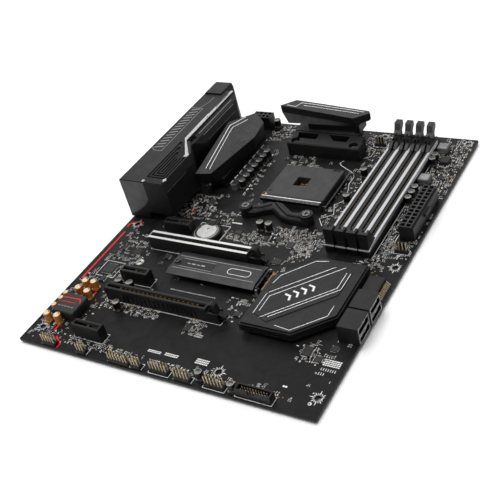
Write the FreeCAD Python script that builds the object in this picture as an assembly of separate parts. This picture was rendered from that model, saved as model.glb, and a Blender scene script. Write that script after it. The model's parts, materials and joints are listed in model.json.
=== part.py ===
import FreeCAD, Part
import os

# ATX motherboard. Every length is in millimetres.
# Places are given from the board's rear bottom corner: x runs from the rear
# (port) edge to the front edge, y from the bottom (slot) edge to the top edge
# and z up from the component side. save() then moves each part into the part
# frame, whose origin is the rear bottom standoff hole on the board's underside.

board_depth = 243.84
board_height = 304.8
board_thickness = 1.6
corner_radius = 1.5

# ATX standoff holes
hole_radius = 1.98
rear_column = 10.16
middle_column = 165.10
front_column = 237.49
bottom_row = 16.51
middle_row = 140.97
top_row = 298.45
rear_top_row = 275.59

# processor socket and cooler brackets
socket_x = 131.0
socket_y = 213.0
socket_depth = 53.0
socket_length = 44.5
socket_base_height = 5.0
socket_cover_top = 7.6
socket_window = 11.5
lever_radius = 0.9
bracket_x = 125.8
bracket_y = 219.0
bracket_pitch_x = 54.0
bracket_pitch_y = 90.0
bracket_hole_radius = 2.1
boss_radius = 5.2
boss_height = 9.0

# memory slots
dimm_count = 4
dimm_first_x = 185.0
dimm_pitch = 9.14
dimm_near_y = 146.0
dimm_far_y = 291.0
dimm_body_half = 3.55
dimm_body_top = 9.0
dimm_tower_top = 19.8
dimm_groove_half = 0.75
armour_overlap = 0.25
armour_thickness = 0.5
armour_skirt_bottom = 5.6
latch_half = 2.5
latch_pivot_y = 281.0
latch_pivot_z = 4.0
latch_top = 24.3
pivot_radius = 0.9
pivot_clearance = 0.05

# expansion slots
slot_rear_x = 42.5
slot_half_width = 3.75
slot_height = 11.25
slot_groove_half = 0.95
long_slot_length = 90.5
short_slot_length = 25.0
main_slot_y = 120.8
second_slot_y = 59.9
short_slot_rows = (141.1, 80.2, 19.2)
slot_latch_pivot_x = 138.6
slot_latch_pivot_z = 4.0

# M.2 socket and its hinged heat shield
shield_rear_x = 76.0
shield_front_x = 152.0
shield_y = 101.2
shield_half_width = 12.75
shield_flat_half = 8.1
shield_top = 7.0
shield_hinge_x = 153.8
shield_hinge_z = 3.6

# power sockets
main_power_x = 229.3
main_power_y = 170.4
cpu_power_x = 38.6
cpu_power_y = 292.6

# rear port cover
cover_height = 38.0
cover_far_height = 39.6
cover_near_y = 150.0
cover_middle_end = 293.0
cover_far_y = 304.4
cover_wall = 1.6
port_face = -3.0

# battery
battery_x = 79.5
battery_y = 141.8

hidden_gap = 0.35
header_y = 2.4


def box(x0, x1, y0, y1, z0, z1):
    return Part.makeBox(x1 - x0, y1 - y0, z1 - z0, FreeCAD.Vector(x0, y0, z0))


def cylinder(x, y, z0, z1, radius):
    return Part.makeCylinder(radius, z1 - z0, FreeCAD.Vector(x, y, z0))


def cylinder_x(x0, x1, y, z, radius):
    return Part.makeCylinder(radius, x1 - x0, FreeCAD.Vector(x0, y, z), FreeCAD.Vector(1, 0, 0))


def cylinder_y(y0, y1, x, z, radius):
    return Part.makeCylinder(radius, y1 - y0, FreeCAD.Vector(x, y0, z), FreeCAD.Vector(0, 1, 0))


def prism(points, z0, z1):
    """Upright prism on an outline in the board's plane."""
    outline = [FreeCAD.Vector(x, y, z0) for x, y in points]
    face = Part.Face(Part.makePolygon(outline + outline[:1]))
    return face.extrude(FreeCAD.Vector(0, 0, z1 - z0))


def prism_along_x(points, x0, x1):
    """Prism along x on an outline of (y, z) points."""
    outline = [FreeCAD.Vector(x0, y, z) for y, z in points]
    face = Part.Face(Part.makePolygon(outline + outline[:1]))
    return face.extrude(FreeCAD.Vector(x1 - x0, 0, 0))


def prism_along_y(points, y0, y1):
    """Prism along y on an outline of (x, z) points."""
    outline = [FreeCAD.Vector(x, y0, z) for x, z in points]
    face = Part.Face(Part.makePolygon(outline + outline[:1]))
    return face.extrude(FreeCAD.Vector(0, y1 - y0, 0))


def loft(lower, upper):
    """Solid between two outlines of (x, y, z) points."""
    wires = []
    for outline in (lower, upper):
        points = [FreeCAD.Vector(*point) for point in outline]
        wires.append(Part.makePolygon(points + points[:1]))
    return Part.makeLoft(wires, True, True)


def flat_face(points):
    """Face inside a closed outline of (x, y, z) points that lie in one plane."""
    outline = [FreeCAD.Vector(*point) for point in points]
    return Part.Face(Part.makePolygon(outline + outline[:1]))


def faceted(lower, upper, peak):
    """Solid with a flat bottom outline and a top of triangles that meet at the peak."""
    faces = [flat_face(lower)]
    for index in range(len(lower)):
        after = (index + 1) % len(lower)
        faces.append(flat_face([lower[index], lower[after], upper[after]]))
        faces.append(flat_face([lower[index], upper[after], upper[index]]))
        faces.append(flat_face([upper[index], upper[after], peak]))
    return Part.makeSolid(Part.makeShell(faces))


def chamfer_upright(shape, size):
    """Chamfer every upright edge of a prism."""
    edges = [edge for edge in shape.Edges if is_upright(edge)]
    return shape.makeChamfer(size, edges)


def fillet_upright(shape, size):
    """Rounds the edges that run along z."""
    edges = [edge for edge in shape.Edges if is_upright(edge)]
    return shape.makeFillet(size, edges)


def is_upright(edge):
    """Whether an edge is a line along z."""
    if len(edge.Vertexes) != 2:
        return False
    run = edge.Vertexes[1].Point - edge.Vertexes[0].Point
    return abs(run.x) < 1e-6 and abs(run.y) < 1e-6


def chamfer_top(shape, size):
    """Chamfer the edges that lie wholly in the top plane."""
    top = shape.BoundBox.ZMax
    edges = []
    for edge in shape.Edges:
        bounds = edge.BoundBox
        if bounds.ZMin > top - 1e-4:
            edges.append(edge)
    return shape.makeChamfer(size, edges)


def joined(shapes):
    """One solid from shapes that touch or overlap."""
    result = shapes[0].fuse(shapes[1:])
    return result.removeSplitter()


def save(name, shapes):
    """Write one node, moved into the part frame. A list of shapes stays separate solids."""
    if not isinstance(shapes, list):
        shapes = [shapes]
    solids = []
    for shape in shapes:
        solids.extend(shape.Solids)
    whole = solids[0] if len(solids) == 1 else Part.makeCompound(solids)
    whole = whole.copy()
    whole.translate(FreeCAD.Vector(-rear_column, -bottom_row, board_thickness))
    whole.exportStep("parts/" + name + ".step")


# ---------------------------------------------------------------- board

def standoff_holes():
    rows = [(x, y) for x in (middle_column, front_column) for y in (bottom_row, middle_row, top_row)]
    return rows + [(rear_column, bottom_row), (rear_column, middle_row), (rear_column, rear_top_row)]


def bracket_corners():
    half_x = bracket_pitch_x / 2
    half_y = bracket_pitch_y / 2
    return [(bracket_x + sx * half_x, bracket_y + sy * half_y) for sx in (-1, 1) for sy in (-1, 1)]


def make_board():
    board = box(0, board_depth, 0, board_height, -board_thickness, 0)
    board = fillet_upright(board, corner_radius)
    drills = [cylinder(x, y, -3, 1, hole_radius) for x, y in standoff_holes()]
    drills += [cylinder(x, y, -3, 1, bracket_hole_radius) for x, y in bracket_corners()]
    return board.cut(drills)


def make_backplate():
    """Steel plate under the socket with four threaded posts through the board."""
    half_x = bracket_pitch_x / 2 + 6.5
    half_y = bracket_pitch_y / 2 + 6.5
    thickness = 2.0
    top = -board_thickness
    plate = box(bracket_x - half_x, bracket_x + half_x, bracket_y - half_y, bracket_y + half_y,
                top - thickness, top)
    plate = chamfer_upright(plate, 5.0)
    window = box(socket_x - 13, socket_x + 13, socket_y - 12, socket_y + 12, top - 4, top + 1)
    plate = plate.cut(fillet_upright(window, 3.0))
    posts = [cylinder(x, y, top - 0.5, -0.3, bracket_hole_radius - 0.1) for x, y in bracket_corners()]
    plate = joined([plate] + posts)
    threads = [cylinder(x, y, top - 4, 1, 1.45) for x, y in bracket_corners()]
    return plate.cut(threads)


def solder_row(x0, y0, x1, y1, count):
    """Solder cones in a line on the underside."""
    cones = []
    for index in range(count):
        share = index / (count - 1)
        place = FreeCAD.Vector(x0 + share * (x1 - x0), y0 + share * (y1 - y0), -board_thickness - 1.1)
        cones.append(Part.makeCone(0.35, 0.75, 1.1, place))
    return cones


def make_solder():
    cones = []
    for index in range(dimm_count):
        x = dimm_first_x + index * dimm_pitch
        for side in (-1.6, 1.6):
            cones += solder_row(x + side, 163, x + side, 275, 15)
    for y in (main_slot_y, second_slot_y):
        for side in (-2.0, 2.0):
            cones += solder_row(slot_rear_x + 4, y + side, slot_rear_x + long_slot_length - 4, y + side, 17)
    for x in (main_power_x + 2.6, main_power_x + 7.0):
        cones += solder_row(x, main_power_y + 2.6, x, main_power_y + 49.0, 12)
    for y in (header_y, header_y + 2.54):
        cones += solder_row(84.6, y, 99.8, y, 7)
        cones += solder_row(140.2, y, 150.4, y, 5)
    return cones


# ---------------------------------------------------------------- processor socket

def socket_edges():
    return (socket_x - socket_depth / 2, socket_x + socket_depth / 2,
            socket_y - socket_length / 2, socket_y + socket_length / 2)


def make_socket_base():
    left, right, near, far = socket_edges()
    base = box(left + 0.6, right - 0.6, near + 1.6, far - 0.6, 0, socket_base_height)
    cam_block = box(left + 0.6, right - 0.6, near - 2.4, near + 1.2, 0, 4.2)
    half = socket_window / 2
    window = box(socket_x - half - 2.0, socket_x + half - 2.0, socket_y - half + 1, socket_y + half + 1,
                 -0.1, 9)
    catch = box(right - 0.6, right + 1.6, far - 9.0, far - 6.0, 0, 1.2)
    base = joined([base, cam_block, box(left + 0.6, right - 0.6, near + 1.0, near + 1.8, 0, 4.2), catch])
    rod_hole = cylinder_x(right - 9.0, right + 1.0, near + 1.6, 2.6, lever_radius + pivot_clearance)
    return base.cut([window, rod_hole])


def make_socket_contacts():
    """Gold spring strips on the open floor of the socket's window."""
    strips = []
    for column in range(5):
        for row in range(4):
            x = socket_x - 5.9 + column * 2.0
            y = socket_y - 2.9 + row * 2.3
            strips.append(box(x, x + 1.1, y, y + 1.4, 0.05, 1.9 + 0.5 * ((row + column) % 2)))
    return strips


def make_socket_cover():
    """Sliding pin-grid cover."""
    left, right, near, far = socket_edges()
    cover = box(left, right, near + 2.2, far, socket_base_height + hidden_gap, socket_cover_top)
    cover = chamfer_upright(cover, 1.2)
    cover = chamfer_top(cover, 0.5)
    half = socket_window / 2
    window = box(socket_x - half - 2.0, socket_x + half - 2.0, socket_y - half + 1, socket_y + half + 1,
                 0, 20)
    marks = [cylinder(left + 4.0, near + 7.0, socket_cover_top - 0.5, 20, 1.5)]
    thumb = box(right - 9, right - 3, far - 3.0, far - 1.2, socket_cover_top - 0.6, 20)
    return cover.cut([window, thumb] + marks)


def make_cam_plate():
    """Bright steel strip along the cam end of the socket."""
    left, right, near, far = socket_edges()
    profile = [(near - 2.4, 4.2), (near + 1.5, 4.2), (near + 1.5, 7.9), (near - 0.2, 7.9),
               (near - 2.4, 6.6)]
    return prism_along_x(profile, left - 1.2, right - 1.0)


def make_socket_lever():
    """Bent wire lever: a cam rod along x and an arm along y beside the socket."""
    left, right, near, far = socket_edges()
    arm_x = right + 2.1
    pivot_y = near + 1.6
    pivot_z = 2.6
    rod = cylinder_x(right - 8.0, arm_x, pivot_y, pivot_z, lever_radius)
    knee = Part.makeSphere(lever_radius, FreeCAD.Vector(arm_x, pivot_y, pivot_z))
    arm_end = far + 3.6
    arm = cylinder_y(pivot_y, arm_end, arm_x, pivot_z, lever_radius)
    elbow = Part.makeSphere(lever_radius, FreeCAD.Vector(arm_x, arm_end, pivot_z))
    tip = cylinder_x(arm_x, arm_x + 3.4, arm_end, pivot_z, lever_radius)
    end = Part.makeSphere(lever_radius, FreeCAD.Vector(arm_x + 3.4, arm_end, pivot_z))
    return joined([rod, knee, arm, elbow, tip, end])


def bracket_boss(x, y):
    boss = cylinder(x, y, 0, boss_height, boss_radius)
    bore = cylinder(x, y, -1, boss_height + 1, bracket_hole_radius + 0.05)
    seat = cylinder(x, y, boss_height - 2.2, boss_height + 1, 3.9)
    return boss, [bore, seat]


def make_top_bracket():
    """Deep beam with both bosses inside its ends and two windows behind it."""
    left = bracket_x - bracket_pitch_x / 2
    right = bracket_x + bracket_pitch_x / 2
    screw_y = bracket_y + bracket_pitch_y / 2
    beam_top = 12.4
    beam = chamfer_top(box(left - 6.2, right + 6.4, 259.0, 270.0, 0, beam_top), 1.0)
    webs = box(left - 6.2, right + 4.0, 267.0, 278.4, 0, beam_top - 0.6)
    rear_window = prism([(left, 267.4), (left + 17.6, 267.4), (left + 16.6, 276.6),
                         (left - 3.0, 276.6)], -1, 20)
    front_window = prism([(left + 34.4, 267.4), (left + 45.6, 267.4), (left + 45.6, 276.6),
                          (left + 25.6, 276.6)], -1, 20)
    cuts = [rear_window, front_window]
    for x in (left, right):
        cuts.append(cylinder(x, screw_y, -1, 20, bracket_hole_radius + 0.05))
        cuts.append(cylinder(x, screw_y, boss_height - 2.2, 20, 3.9))
    return joined([beam, webs]).cut(cuts)


def make_bottom_bracket():
    """Curved arm between two round bosses, with a raised rib and a clip tab."""
    left = bracket_x - bracket_pitch_x / 2
    right = bracket_x + bracket_pitch_x / 2
    screw_y = bracket_y - bracket_pitch_y / 2
    solids = []
    cuts = []
    for x in (left, right):
        boss, holes = bracket_boss(x, screw_y)
        solids.append(boss)
        cuts += holes
    arm = prism([(left, 169.4), (108.0, 171.0), (114.0, 175.6), (120.0, 178.0), (125.4, 174.6),
                 (131.0, 170.4),
                 (138.0, 168.8), (right, 168.8), (right, 179.0), (145.0, 178.6), (139.0, 177.6),
                 (131.0, 183.0),
                 (125.0, 187.0), (114.0, 186.4), (107.0, 181.6), (left, 179.0)], 0, 6.2)
    solids.append(chamfer_top(arm, 1.2))
    rib = prism([(119.4, 184.6), (121.6, 185.6), (129.4, 180.2), (137.8, 174.2), (148.0, 173.4),
                 (148.0, 171.2),
                 (136.8, 171.6), (127.8, 177.8)], 5.5, 7.6)
    solids.append(chamfer_top(rib, 0.6))
    ridge = prism([(103.0, 176.6), (110.0, 178.8), (116.6, 183.6), (118.0, 181.8), (111.4, 176.6),
                   (103.0, 174.4)], 5.5, 7.4)
    solids.append(chamfer_top(ridge, 0.6))
    return joined(solids).cut(cuts)


def make_bracket_screws():
    screws = []
    for x, y in bracket_corners():
        head = cylinder(x, y, boss_height - 2.15, boss_height + 0.4, 3.3)
        slot = box(x - 2.3, x + 2.3, y - 0.45, y + 0.45, boss_height - 0.9, boss_height + 1)
        cross = box(x - 0.45, x + 0.45, y - 2.3, y + 2.3, boss_height - 0.9, boss_height + 1)
        shank = cylinder(x, y, -1.2, boss_height - 2.15, 1.4)
        screws.append(joined([head, shank]).cut([slot, cross]))
    return screws


# ---------------------------------------------------------------- memory slots

def dimm_x(index):
    return dimm_first_x + index * dimm_pitch


def make_dimm_slot(index):
    """Slot body with a fixed end tower and two cheeks that carry the latch."""
    x = dimm_x(index)
    half = dimm_body_half
    tower_far = 154.6
    cheek_near = 268.0
    body = box(x - half, x + half, dimm_near_y, dimm_far_y, 0, dimm_body_top)
    step = box(x - half - 1, x + half + 1, dimm_near_y - 1, dimm_near_y + 1.5, 7.0, 30)
    profile = [(dimm_near_y + 1.5, 7.0), (tower_far + 4.5, 7.0), (tower_far + 4.5, dimm_body_top),
               (tower_far, dimm_body_top + 4.5), (tower_far - 1.2, dimm_tower_top),
               (dimm_near_y + 1.5, dimm_tower_top)]
    tower = prism_along_x(profile, x - half, x + half)
    cheeks = box(x - half, x + half, cheek_near, dimm_far_y, 7.0, 12.6)
    corner = prism_along_x([(dimm_far_y - 4, 12.7), (dimm_far_y + 1, 12.7), (dimm_far_y + 1, 8.0)],
                           x - half - 1, x + half + 1)
    slope = prism_along_x([(cheek_near - 1, 9.0), (cheek_near - 1, 12.7), (cheek_near + 5, 12.7)],
                          x - half - 1, x + half + 1)
    solid = joined([body.cut(step), tower, cheeks.cut([corner, slope])])
    inner = latch_half + 0.35
    groove = box(x - dimm_groove_half, x + dimm_groove_half, dimm_near_y + 5, cheek_near + 8.0, 1.6, 30)
    key = box(x - 1.0, x + 1.0, 216.2, 217.8, 0, dimm_body_top - 1.5)
    latch_bay = box(x - inner, x + inner, cheek_near + 7.0, dimm_far_y + 1, 1.2, 30)
    entry = prism_along_x([(dimm_near_y + 4.4, 12.0), (dimm_near_y + 4.4, 30), (dimm_near_y + 10, 30),
                           (dimm_near_y + 10, 12.0)], x - 1.5, x + 1.5)
    bore = cylinder_x(x - half + 0.4, x + half - 0.4, latch_pivot_y, latch_pivot_z, pivot_radius +
                      pivot_clearance)
    solid = solid.cut([groove, latch_bay, entry, bore])
    return joined([solid, key])


def make_dimm_armour():
    """Steel plates over the walls between the slots and along both outer sides."""
    near = dimm_near_y + 13.2
    far = 268.0
    low = dimm_body_top
    high = low + armour_thickness
    reach = dimm_body_half - armour_overlap
    pieces = []
    for index in range(dimm_count - 1):
        rear = dimm_x(index)
        front = dimm_x(index + 1)
        plate = box(rear + reach, front - reach, near, far, low, high)
        tongue = box(rear + dimm_body_half + 0.3, front - dimm_body_half - 0.3, near - 5.4, far + 18.0,
                     8.0, high)
        pieces.append(joined([plate, tongue]))
    outer = dimm_x(0) - dimm_body_half
    rear_top = box(outer - 1.1, outer + 0.6, near, far, low, high)
    rear_skirt = box(outer - 1.1, outer - 0.3, near - 3.0, 286.0, armour_skirt_bottom, high)
    pieces.append(joined([rear_top, rear_skirt]))
    outer = dimm_x(dimm_count - 1) + dimm_body_half
    front_top = box(outer - 0.9, outer + 0.9, near, far, low, high)
    profile = [(dimm_near_y - 0.5, 6.2), (dimm_near_y - 0.5, 7.0), (near, high), (286.0, high),
               (286.0, 6.2)]
    front_skirt = prism_along_x(profile, outer + 0.3, outer + 0.9)
    pieces.append(joined([front_top, front_skirt]))
    for index in range(dimm_count):
        x = dimm_x(index)
        pieces.append(box(x - 4.0, x + 4.0, dimm_near_y - 0.5, dimm_near_y, 5.9, 7.0))
    return pieces


def make_dimm_latch(index):
    """Upright latch with an inner hook and an outward finger pad."""
    x = dimm_x(index)
    y = latch_pivot_y
    profile = [(y - 3.0, 2.4), (y + 2.0, 2.6), (y + 4.6, 9.5), (y + 5.2, 16.8), (y + 8.8, 20.4),
               (y + 8.8, latch_top - 0.4), (y + 8.4, latch_top), (y + 3.6, latch_top),
               (y + 2.8, latch_top - 0.8),
               (y + 1.0, 18.4), (y - 1.8, 16.2), (y - 1.8, 15.0), (y - 0.2, 13.8), (y - 2.2, 9.5)]
    body = prism_along_x(profile, x - latch_half, x + latch_half)
    reach = dimm_body_half - 0.5
    pivot = cylinder_x(x - reach, x + reach, y, latch_pivot_z, pivot_radius)
    groove = box(x - dimm_groove_half, x + dimm_groove_half, y - 6, y - 0.8, 5.0, 17.0)
    grips = []
    for step in range(2):
        place = y + 4.6 + step * 1.9
        grips.append(box(x - latch_half - 1, x + latch_half + 1, place, place + 0.8, latch_top - 0.3,
                         latch_top + 1))
    return joined([body.cut([groove] + grips), pivot])


# ---------------------------------------------------------------- expansion slots

def slot_body(y, length):
    """Slot with a long groove, a key rib and chamfered lips."""
    x0 = slot_rear_x
    x1 = slot_rear_x + length
    body = box(x0, x1, y - slot_half_width, y + slot_half_width, 0, slot_height)
    body = chamfer_top(body, 0.5)
    mouth = prism_along_x([(y - 1.9, slot_height + 0.1), (y - slot_groove_half, slot_height - 1.0),
                           (y + slot_groove_half, slot_height - 1.0), (y + 1.9, slot_height + 0.1)], x0 +
                           1.6, x1 - 1.6)
    front_groove = box(x0 + 1.6, x0 + 12.6, y - slot_groove_half, y + slot_groove_half, 2.6, 20)
    rest_groove = box(x0 + 14.6, x1 - 1.6, y - slot_groove_half, y + slot_groove_half, 2.6, 20)
    windows = []
    count = int((length - 22) / 4)
    for index in range(count):
        x = x0 + 16.5 + index * 4.0
        windows.append(box(x, x + 1.2, y - slot_half_width - 1, y - slot_half_width + 0.6, 1.0, 7.6))
    return body.cut([mouth, front_groove, rest_groove] + windows)


def make_long_slot(y):
    """Sixteen-lane slot with two cheeks for its retention latch."""
    x1 = slot_rear_x + long_slot_length
    body = slot_body(y, long_slot_length)
    end = box(x1, x1 + 9.5, y - slot_half_width, y + slot_half_width, 0, 8.2)
    bay = box(x1 + 1.2, x1 + 12, y - 2.35, y + 2.35, 1.0, 20)
    bore = cylinder_y(y - slot_half_width + 0.4, y + slot_half_width - 0.4, slot_latch_pivot_x,
                      slot_latch_pivot_z,
                      pivot_radius + pivot_clearance)
    return joined([body, end.cut([bay])]).cut(bore)


def make_slot_armour(y):
    """Steel shell around the main slot: side walls with lips folded over the top."""
    x0 = slot_rear_x - 0.5
    x1 = slot_rear_x + long_slot_length - 0.4
    wall = 0.5
    outer = slot_half_width + wall
    pieces = []
    for side in (-1, 1):
        profile = [(y + side * slot_half_width, 1.0), (y + side * outer, 1.0),
                   (y + side * outer, slot_height + wall), (y + side * 2.0, slot_height + wall),
                   (y + side * 2.0, slot_height), (y + side * slot_half_width, slot_height)]
        pieces.append(prism_along_x(profile, x0, x1))
    front = box(x0, slot_rear_x, y - outer, y + outer, 1.0, slot_height + wall)
    return joined(pieces + [front])


def make_slot_latch(y):
    """Retention latch: hook over the card's foot and a sloping thumb tab."""
    px = slot_latch_pivot_x
    profile = [(px - 2.2, 1.8), (px + 1.8, 1.8), (px + 8.2, 3.4), (px + 8.6, 5.2), (px + 3.2, 7.4),
               (px + 1.6, 14.2), (px - 0.6, 15.2), (px - 3.4, 14.4), (px - 3.4, 13.2), (px - 1.2, 12.6),
               (px - 2.2, 8.0)]
    body = prism_along_y(profile, y - 2.0, y + 2.0)
    pivot = cylinder_y(y - slot_half_width + 0.75, y + slot_half_width - 0.75, px, slot_latch_pivot_z,
                       pivot_radius)
    return joined([body, pivot])


def contact_row_y(x, y0, y1, pitch, z0, z1, half, depth):
    """Gold contact fingers on both walls of a groove that runs along y."""
    fingers = []
    count = int((y1 - y0) / pitch)
    for index in range(count):
        y = y0 + index * pitch
        for side in (-1, 1):
            wall = x + side * half
            inner = wall - side * depth
            fingers.append(box(min(wall, inner), max(wall, inner), y, y + pitch * 0.5, z0, z1))
    return fingers


def contact_row_x(y, x0, x1, pitch, z0, z1, half, depth):
    """Gold contact fingers on both walls of a groove that runs along x."""
    fingers = []
    count = int((x1 - x0) / pitch)
    for index in range(count):
        x = x0 + index * pitch
        for side in (-1, 1):
            wall = y + side * half
            inner = wall - side * depth
            fingers.append(box(x, x + pitch * 0.5, min(wall, inner), max(wall, inner), z0, z1))
    return fingers


def make_slot_contacts():
    fingers = []
    for index in range(dimm_count):
        x = dimm_x(index)
        fingers += contact_row_y(x, 164.5, 214.5, 3.4, 2.0, 7.4, dimm_groove_half, 0.25)
        fingers += contact_row_y(x, 219.5, 270.0, 3.4, 2.0, 7.4, dimm_groove_half, 0.25)
    for y in (main_slot_y, second_slot_y):
        fingers += contact_row_x(y, slot_rear_x + 16, slot_rear_x + 87, 4.0, 3.0, 9.6, slot_groove_half,
                                 0.3)
    for y in short_slot_rows:
        fingers += contact_row_x(y, slot_rear_x + 16, slot_rear_x + 22, 2.0, 3.0, 9.6, slot_groove_half,
                                 0.3)
    return fingers


# ---------------------------------------------------------------- M.2 socket and shield

def make_m2_socket():
    y = shield_y
    body = box(156.4, 160.4, y - 10.8, y + 10.8, 0, 4.2)
    mouth = box(155, 159.2, y - 9.4, y + 9.4, 1.5, 2.6)
    return chamfer_top(body, 0.4).cut(mouth)


def make_m2_contacts():
    y = shield_y
    return [box(160.45, 161.2, y - 9.2 + index * 1.2, y - 8.7 + index * 1.2, 0, 0.7) for index in range(16)]


def make_m2_hinge():
    """Steel hinge bracket: a foot plate, two ears and the hinge pin."""
    pieces = []
    for side in (-1, 1):
        ear_y = shield_y + side * 11.4
        ear = box(shield_hinge_x - 1.0, shield_hinge_x + 0.9, ear_y - 0.5, ear_y + 0.5, 0,
                  shield_hinge_z + 1.2)
        foot_y = ear_y + side * 0.5
        foot = box(shield_hinge_x - 3.0, shield_hinge_x + 0.9, min(foot_y, foot_y + side * 1.8),
                   max(foot_y, foot_y + side * 1.8), 0, 0.6)
        pin_end = ear_y - side * 2.9
        pin = cylinder_y(min(ear_y, pin_end), max(ear_y, pin_end), shield_hinge_x, shield_hinge_z, 0.6)
        pieces.append(joined([ear, foot, pin]))
    return pieces


def make_m2_shield():
    """Extruded heat shield: a flat top with sloping sides, hinged at the socket end."""
    y = shield_y
    low = 4.7
    profile = [(y - shield_half_width, low), (y - shield_half_width, low + 0.7),
               (y - shield_flat_half, shield_top),
               (y + shield_flat_half, shield_top), (y + shield_half_width, low + 0.7),
               (y + shield_half_width, low)]
    plate = prism_along_x(profile, shield_rear_x, shield_front_x)
    label = box(83.0, 112.0, y - 4.6, y + 4.6, shield_top - 0.35, 20)
    pill = joined([box(127.5, 140.5, y - 3.4, y + 3.4, shield_top - 0.3, 20),
                   cylinder(127.5, y, shield_top - 0.3, 20, 3.4),
                   cylinder(140.5, y, shield_top - 0.3, 20, 3.4)])
    core = joined([box(127.5, 140.5, y - 2.8, y + 2.8, shield_top - 0.3, 20),
                   cylinder(127.5, y, shield_top - 0.3, 20, 2.8),
                   cylinder(140.5, y, shield_top - 0.3, 20, 2.8)])
    ring = pill.cut(core)
    lines = [box(shield_rear_x + 2, shield_front_x - 2, y + side * 6.6 - 0.2, y + side * 6.6 + 0.2,
                 shield_top - 0.25, 20) for side in (-1, 1)]
    screw_hole = cylinder(79.4, y, 0, 20, 1.5)
    plate = plate.cut([label, ring, screw_hole] + lines)
    neck = box(shield_front_x - 3.0, shield_hinge_x, y - 10.0, y + 10.0, low, low + 0.7)
    knuckles = []
    for side in (-1, 1):
        knuckles.append(box(shield_hinge_x - 1.1, shield_hinge_x, y + side * 9.4 - 0.9, y + side * 9.4 +
                            0.9,
                            shield_hinge_z, low + 0.7))
        knuckles.append(cylinder_y(y + side * 9.4 - 0.9, y + side * 9.4 + 0.9, shield_hinge_x,
                                   shield_hinge_z, 1.1))
    bores = [cylinder_y(y - 12, y + 12, shield_hinge_x, shield_hinge_z, 0.65)]
    return joined([plate, neck] + knuckles).cut(bores)


def make_m2_screw():
    head = cylinder(79.4, shield_y, shield_top + 0.05, shield_top + 1.3, 2.6)
    slot = box(77.6, 81.2, shield_y - 0.35, shield_y + 0.35, shield_top + 0.8, 20)
    cross = box(79.05, 79.75, shield_y - 1.8, shield_y + 1.8, shield_top + 0.8, 20)
    shank = cylinder(79.4, shield_y, 4.2, shield_top + 0.05, 1.2)
    return joined([head, shank]).cut([slot, cross])


def make_m2_standoff():
    post = cylinder(79.4, shield_y, 0, 3.8, 2.4)
    return post.cut(cylinder(79.4, shield_y, 0.8, 9, 1.0))


# ---------------------------------------------------------------- heat sinks and power stages

def chipset_outline(inset):
    d = inset
    k = inset * 0.41
    return [(161.0 + d, 53.0 + d), (201.0 - k, 53.0 + d), (224.5 - d, 76.5 + k), (224.5 - d, 129.5 - d),
            (188.0 + k, 129.5 - d), (161.0 + d, 102.5 - k)]


def make_chipset_heatsink():
    """Low extruded heat sink with raised bands running from corner to corner."""
    skirt = prism(chipset_outline(0.0), 2.7, 8.2)
    crown = prism(chipset_outline(1.2), 8.2, 9.6)
    foot = box(177, 205, 78, 104, 2.7, 3.0)
    band = prism([(168.0, 64.0), (180.0, 58.5), (216.5, 95.0), (216.5, 118.5), (205.5, 124.5),
                  (168.0, 87.0)], 9.6, 10.1)
    clip = prism(chipset_outline(1.2), 9.0, 11)
    side_grooves = []
    for z in (4.2, 6.2):
        ring = prism(chipset_outline(-1.0), z, z + 0.8).cut(prism(chipset_outline(1.0), z - 1, z + 2))
        side_grooves.append(ring)
    return joined([skirt, crown, foot, band.common(clip)]).cut(side_grooves)


def make_rear_heatsink():
    """Faceted heat sink over the rear power stages, highest beside the rear port cover."""
    lower = [(46.6, 194.4, 8.4), (57.6, 199.0, 8.4), (65.4, 250.0, 8.4), (62.4, 272.0, 8.4),
             (50.0, 282.6, 8.4),
             (41.0, 262.0, 8.4), (46.0, 198.0, 8.4)]
    upper = [(45.4, 187.6, 22.8), (57.0, 193.6, 20.4), (67.4, 251.0, 20.4), (64.4, 273.0, 20.8),
             (51.5, 284.0, 23.2),
             (37.4, 259.6, 27.2), (45.2, 192.6, 23.0)]
    foot = box(46.0, 61.0, 203.0, 275.0, 2.1, 9.0)
    return joined([faceted(lower, upper, (54.6, 234.0, 23.3)), foot])


def top_sink_height(x):
    """The upper block's top falls towards the front of the board."""
    return 31.0 - 5.5 * (x - 76.6) / 82.0


def make_top_heatsink():
    """Undercut heat sink along the top edge: base, neck and wide upper block."""
    base = box(91.0, 146.0, 279.2, 298.0, 2.1, 12.0)
    neck = box(102.0, 150.4, 283.5, 297.0, 11.0, 18.6)
    underside = [(85.6, 279.4), (146.0, 282.2), (155.6, 292.6), (153.4, 296.4), (90.0, 298.0)]
    waist = [(77.4, 285.4), (146.6, 282.0), (157.3, 293.0), (154.8, 296.2), (86.0, 298.0)]
    outline = [(76.6, 286.4), (146.8, 282.2), (157.4, 293.2), (155.2, 296.0), (86.8, 298.0)]
    bottom = [(x, y, 18.4) for x, y in underside]
    middle = [(x, y, top_sink_height(x) - 5.8) for x, y in waist]
    top = [(x, y, top_sink_height(x)) for x, y in outline]
    gaps = [box(93.0, 112.5, 278.0, 281.0, 2.0, 10.8), box(123.0, 144.0, 278.0, 281.0, 2.0, 10.8)]
    return joined([base, neck, loft(bottom, middle), loft(middle, top)]).cut(gaps)


def make_sink_screws():
    """Spring screws that hold the heat sinks, seen from the underside."""
    places = [(171.0, 62.0), (217.0, 122.0), (53.0, 207.0), (53.0, 271.0), (94.0, 288.5), (143.0, 288.5)]
    screws = []
    for x, y in places:
        head = cylinder(x, y, -board_thickness - 1.9, -board_thickness, 2.6)
        slot = box(x - 1.8, x + 1.8, y - 0.35, y + 0.35, -9, -board_thickness - 1.3)
        screws.append(head.cut(slot))
    return screws


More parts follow.
